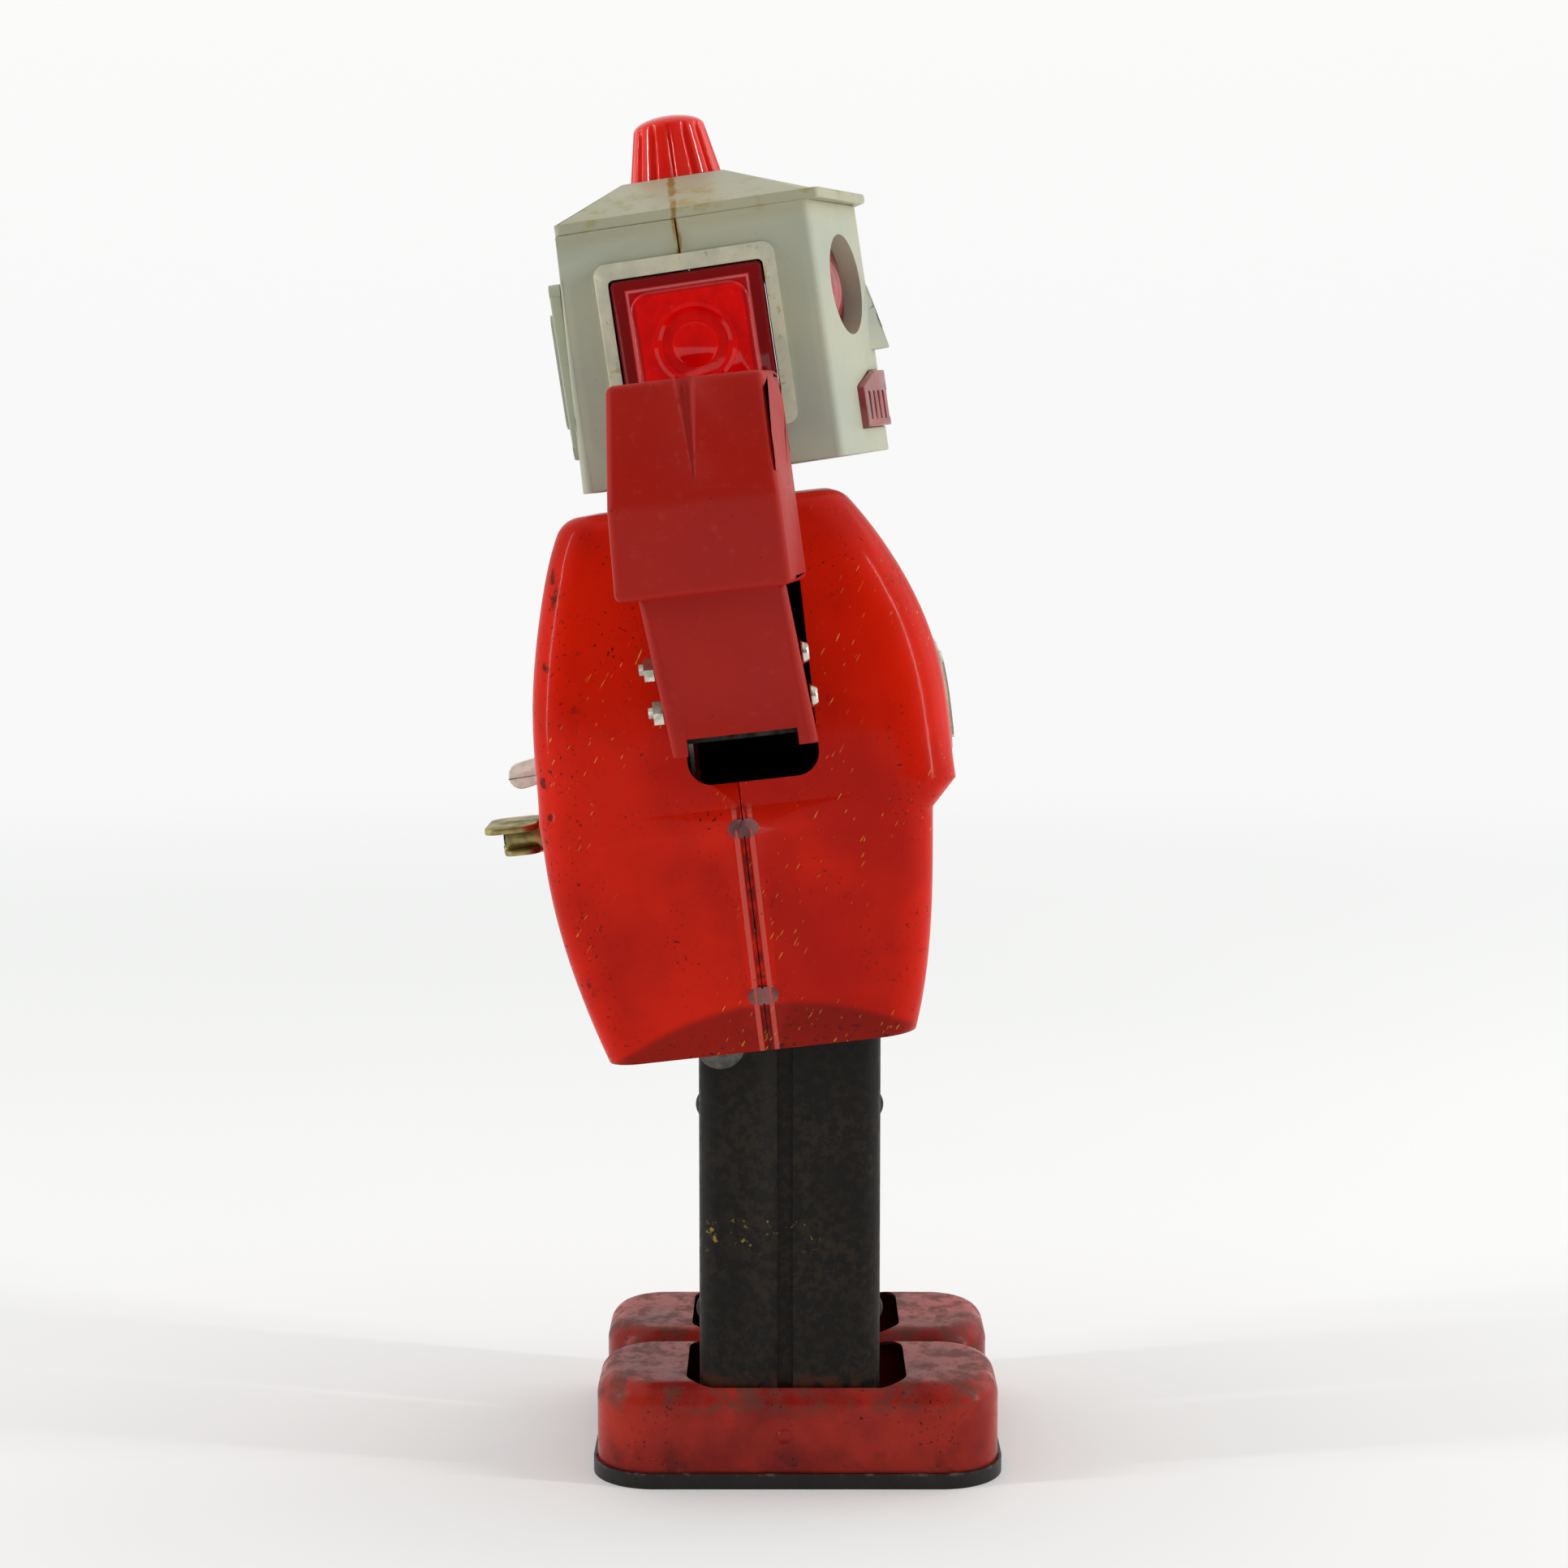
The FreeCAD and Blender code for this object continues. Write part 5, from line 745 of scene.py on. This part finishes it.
class ROBOT_OT_legs(bpy.types.Operator):
    """Makes the tin legs and feet with their sole plates"""

    bl_idname = "robot.legs"
    bl_label = "Legs and feet"

    def execute(self, context):
        for side in ("right", "left"):
            for node, name, slot, body, smooth in (
                ("leg_shell", "leg", "dark_tin", "leg", 35),
                ("foot_shell", "foot", "foot_red_tin", "foot", 35),
                ("sole", "sole_plate", "black_tin", "foot", 35),
                ("foot_pins", "foot_pin_set", "foot_red_tin", "foot", 30),
                ("front_roller", "front_wheel", "roller_plastic", "front_roller", 30),
                ("rear_roller", "rear_wheel", "roller_plastic", "rear_roller", 30),
            ):
                node = f"{node}_{side}"
                bm = merged_copy(node)
                make_piece(bm, f"{name}_{side}", f"{body}_{side}", finish(slot), (node,), smooth)
        return {"FINISHED"}


class ROBOT_OT_key(bpy.types.Operator):
    """Makes the winding key and the stop lever"""

    bl_idname = "robot.key"
    bl_label = "Key and lever"

    def execute(self, context):
        edge = context.scene.robot_sizes.tin_edge
        for node, name, slot, body in (
            ("winding_key", "key_wings", "brass", "winding"),
            ("stop_lever", "lever", "bright_rim", "stop"),
        ):
            bm = merged_copy(node)
            flatten(bm)
            soften(bm, edge * 1.6, 0.3 * MM, 40, segments=2)
            make_piece(bm, name, body, finish(slot), (node,), 35)
        return {"FINISHED"}


class ROBOT_OT_works(bpy.types.Operator):
    """Gives the clockwork and the other inner pieces their metals"""

    bl_idname = "robot.works"
    bl_label = "Works"

    def execute(self, context):
        slots = {row["node"]: row["material_slot"] for row in FRAME["record"]["subparts"]}
        for name, node in NODES.items():
            if node.hide_render:
                continue
            node.data.materials.clear()
            node.data.materials.append(finish(slots[name]))
        return {"FINISHED"}


class ROBOT_OT_stage(bpy.types.Operator):
    """Sets the pale floor, the soft lights and the camera"""

    bl_idname = "robot.stage"
    bl_label = "Stage"

    def execute(self, context):
        scene = context.scene
        bm = bmesh.new()
        bmesh.ops.create_grid(bm, x_segments=1, y_segments=1, size=FLOOR_HALF)
        mesh = bpy.data.meshes.new("floor")
        bm.to_mesh(mesh)
        bm.free()
        floor = bpy.data.objects.new("floor", mesh)
        scene.collection.objects.link(floor)
        glow = {"Emission Color": linear(PAPER_LOW)}
        f = Finish("matt_paper", **{"Roughness": 0.7, "Specular IOR Level": 0.0}, **glow)
        x, y, z = f.split(f.coords)
        away = f.math("SQRT", f.math("ADD", f.math("MULTIPLY", x, x), f.math("MULTIPLY", y, y)))
        # far from the robot the paper curves up into the lit backdrop, so it takes the backdrop's brightness
        lit = f.step(away, 0.4, 1.5)
        base = f.mix(lit, f.mix(f.noise(400, 2), "#FBFCFC", "#F8F9F9"), "#000000")
        mesh.materials.append(f.use(Base_Color=base, Emission_Strength=lit))

        world = bpy.data.worlds.new("studio")
        world.use_nodes = True
        tree = world.node_tree
        # the near side of the studio is dim, and the paper backdrop and its far floor read as one
        toward = add(tree, "ShaderNodeTexCoord").outputs["Generated"]
        ways = add(tree, "ShaderNodeSeparateXYZ", {0: toward}).outputs
        smooth = {"interpolation_type": "SMOOTHSTEP"}
        near_to_far = {0: ways[0], 1: -0.85, 2: 0.0, 3: 0.13, 4: 0.86}
        dim = add(tree, "ShaderNodeMapRange", near_to_far, **smooth).outputs[0]
        rise = add(tree, "ShaderNodeMapRange", {0: ways[2], 1: 0.0, 2: 0.3}, **smooth).outputs[0]
        low_to_high = {0: rise, 6: linear(PAPER_LOW), 7: linear(PAPER_HIGH)}
        paper = add(tree, "ShaderNodeMix", low_to_high, data_type="RGBA")
        seen = add(tree, "ShaderNodeLightPath").outputs["Is Camera Ray"]
        power = add(tree, "ShaderNodeMix", {0: seen, 2: dim, 3: 1.0}, data_type="FLOAT")
        tree.links.new(paper.outputs[2], tree.nodes["Background"].inputs[0])
        tree.links.new(power.outputs[0], tree.nodes["Background"].inputs[1])
        scene.world = world
        target = Vector((0, 0, 0.15))
        for name, spot, size, power, tint in (
            ("front_strip", (-0.30, -1.2, 0.56), (0.03, 1.1), 5.0, "#FFFDFA"),
            ("back_strip", (-0.28, 1.2, 0.56), (0.03, 1.1), 5.0, "#FFFFFF"),
            ("face_softbox", (0.5, -1.1, 0.6), (0.8, 0.9), 1.9, "#FFFFFF"),
        ):
            lamp = bpy.data.lights.new(name, "AREA")
            lamp.shape = "RECTANGLE"
            lamp.size, lamp.size_y = size
            lamp.energy = power
            lamp.color = linear(tint)[:3]
            holder = bpy.data.objects.new(name, lamp)
            holder.location = spot
            holder.rotation_euler = (target - Vector(spot)).to_track_quat("-Z", "Y").to_euler()
            scene.collection.objects.link(holder)
        ceiling = bpy.data.lights.new("ceiling", "SUN")
        ceiling.energy, ceiling.angle = 0.32, math.radians(120)
        scene.collection.objects.link(bpy.data.objects.new("ceiling", ceiling))
        lens = bpy.data.cameras.new("camera")
        lens.sensor_width = 36.0
        lens.lens = 66.86
        camera = bpy.data.objects.new("camera", lens)
        camera.location = (-0.655, -0.0094, 0.2195)
        camera.rotation_euler = (math.radians(90 - 6.03), 0, math.radians(-90))
        scene.collection.objects.link(camera)
        scene.camera = camera
        scene.view_settings.view_transform = "Standard"
        return {"FINISHED"}


class ROBOT_PT_panel(bpy.types.Panel):
    """Lists the robot's operators in the sidebar"""

    bl_idname = "ROBOT_PT_panel"
    bl_label = "Tin Robot"
    bl_space_type = "VIEW_3D"
    bl_region_type = "UI"
    bl_category = "Tin Robot"

    def draw(self, context):
        for operator in OPERATORS:
            self.layout.operator(operator.bl_idname)


OPERATORS = (
    ROBOT_OT_finishes,
    ROBOT_OT_torso,
    ROBOT_OT_chest,
    ROBOT_OT_head,
    ROBOT_OT_lenses,
    ROBOT_OT_beacon,
    ROBOT_OT_arms,
    ROBOT_OT_legs,
    ROBOT_OT_key,
    ROBOT_OT_works,
    ROBOT_OT_stage,
)
CLASSES = (RobotSizes, RobotColours, *OPERATORS, ROBOT_PT_panel)


def register():
    for made in CLASSES:
        bpy.utils.register_class(made)
    bpy.types.Scene.robot_sizes = bpy.props.PointerProperty(type=RobotSizes)
    bpy.types.Scene.robot_colours = bpy.props.PointerProperty(type=RobotColours)


def unregister():
    del bpy.types.Scene.robot_colours
    del bpy.types.Scene.robot_sizes
    for made in reversed(CLASSES):
        bpy.utils.unregister_class(made)


def main():
    """Registers the add-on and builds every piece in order."""
    register()
    for operator in OPERATORS:
        group, name = operator.bl_idname.split(".")
        if getattr(getattr(bpy.ops, group), name)() != {"FINISHED"}:
            raise RuntimeError(f"{operator.bl_label} could not finish")


if __name__ == "__main__":
    main()
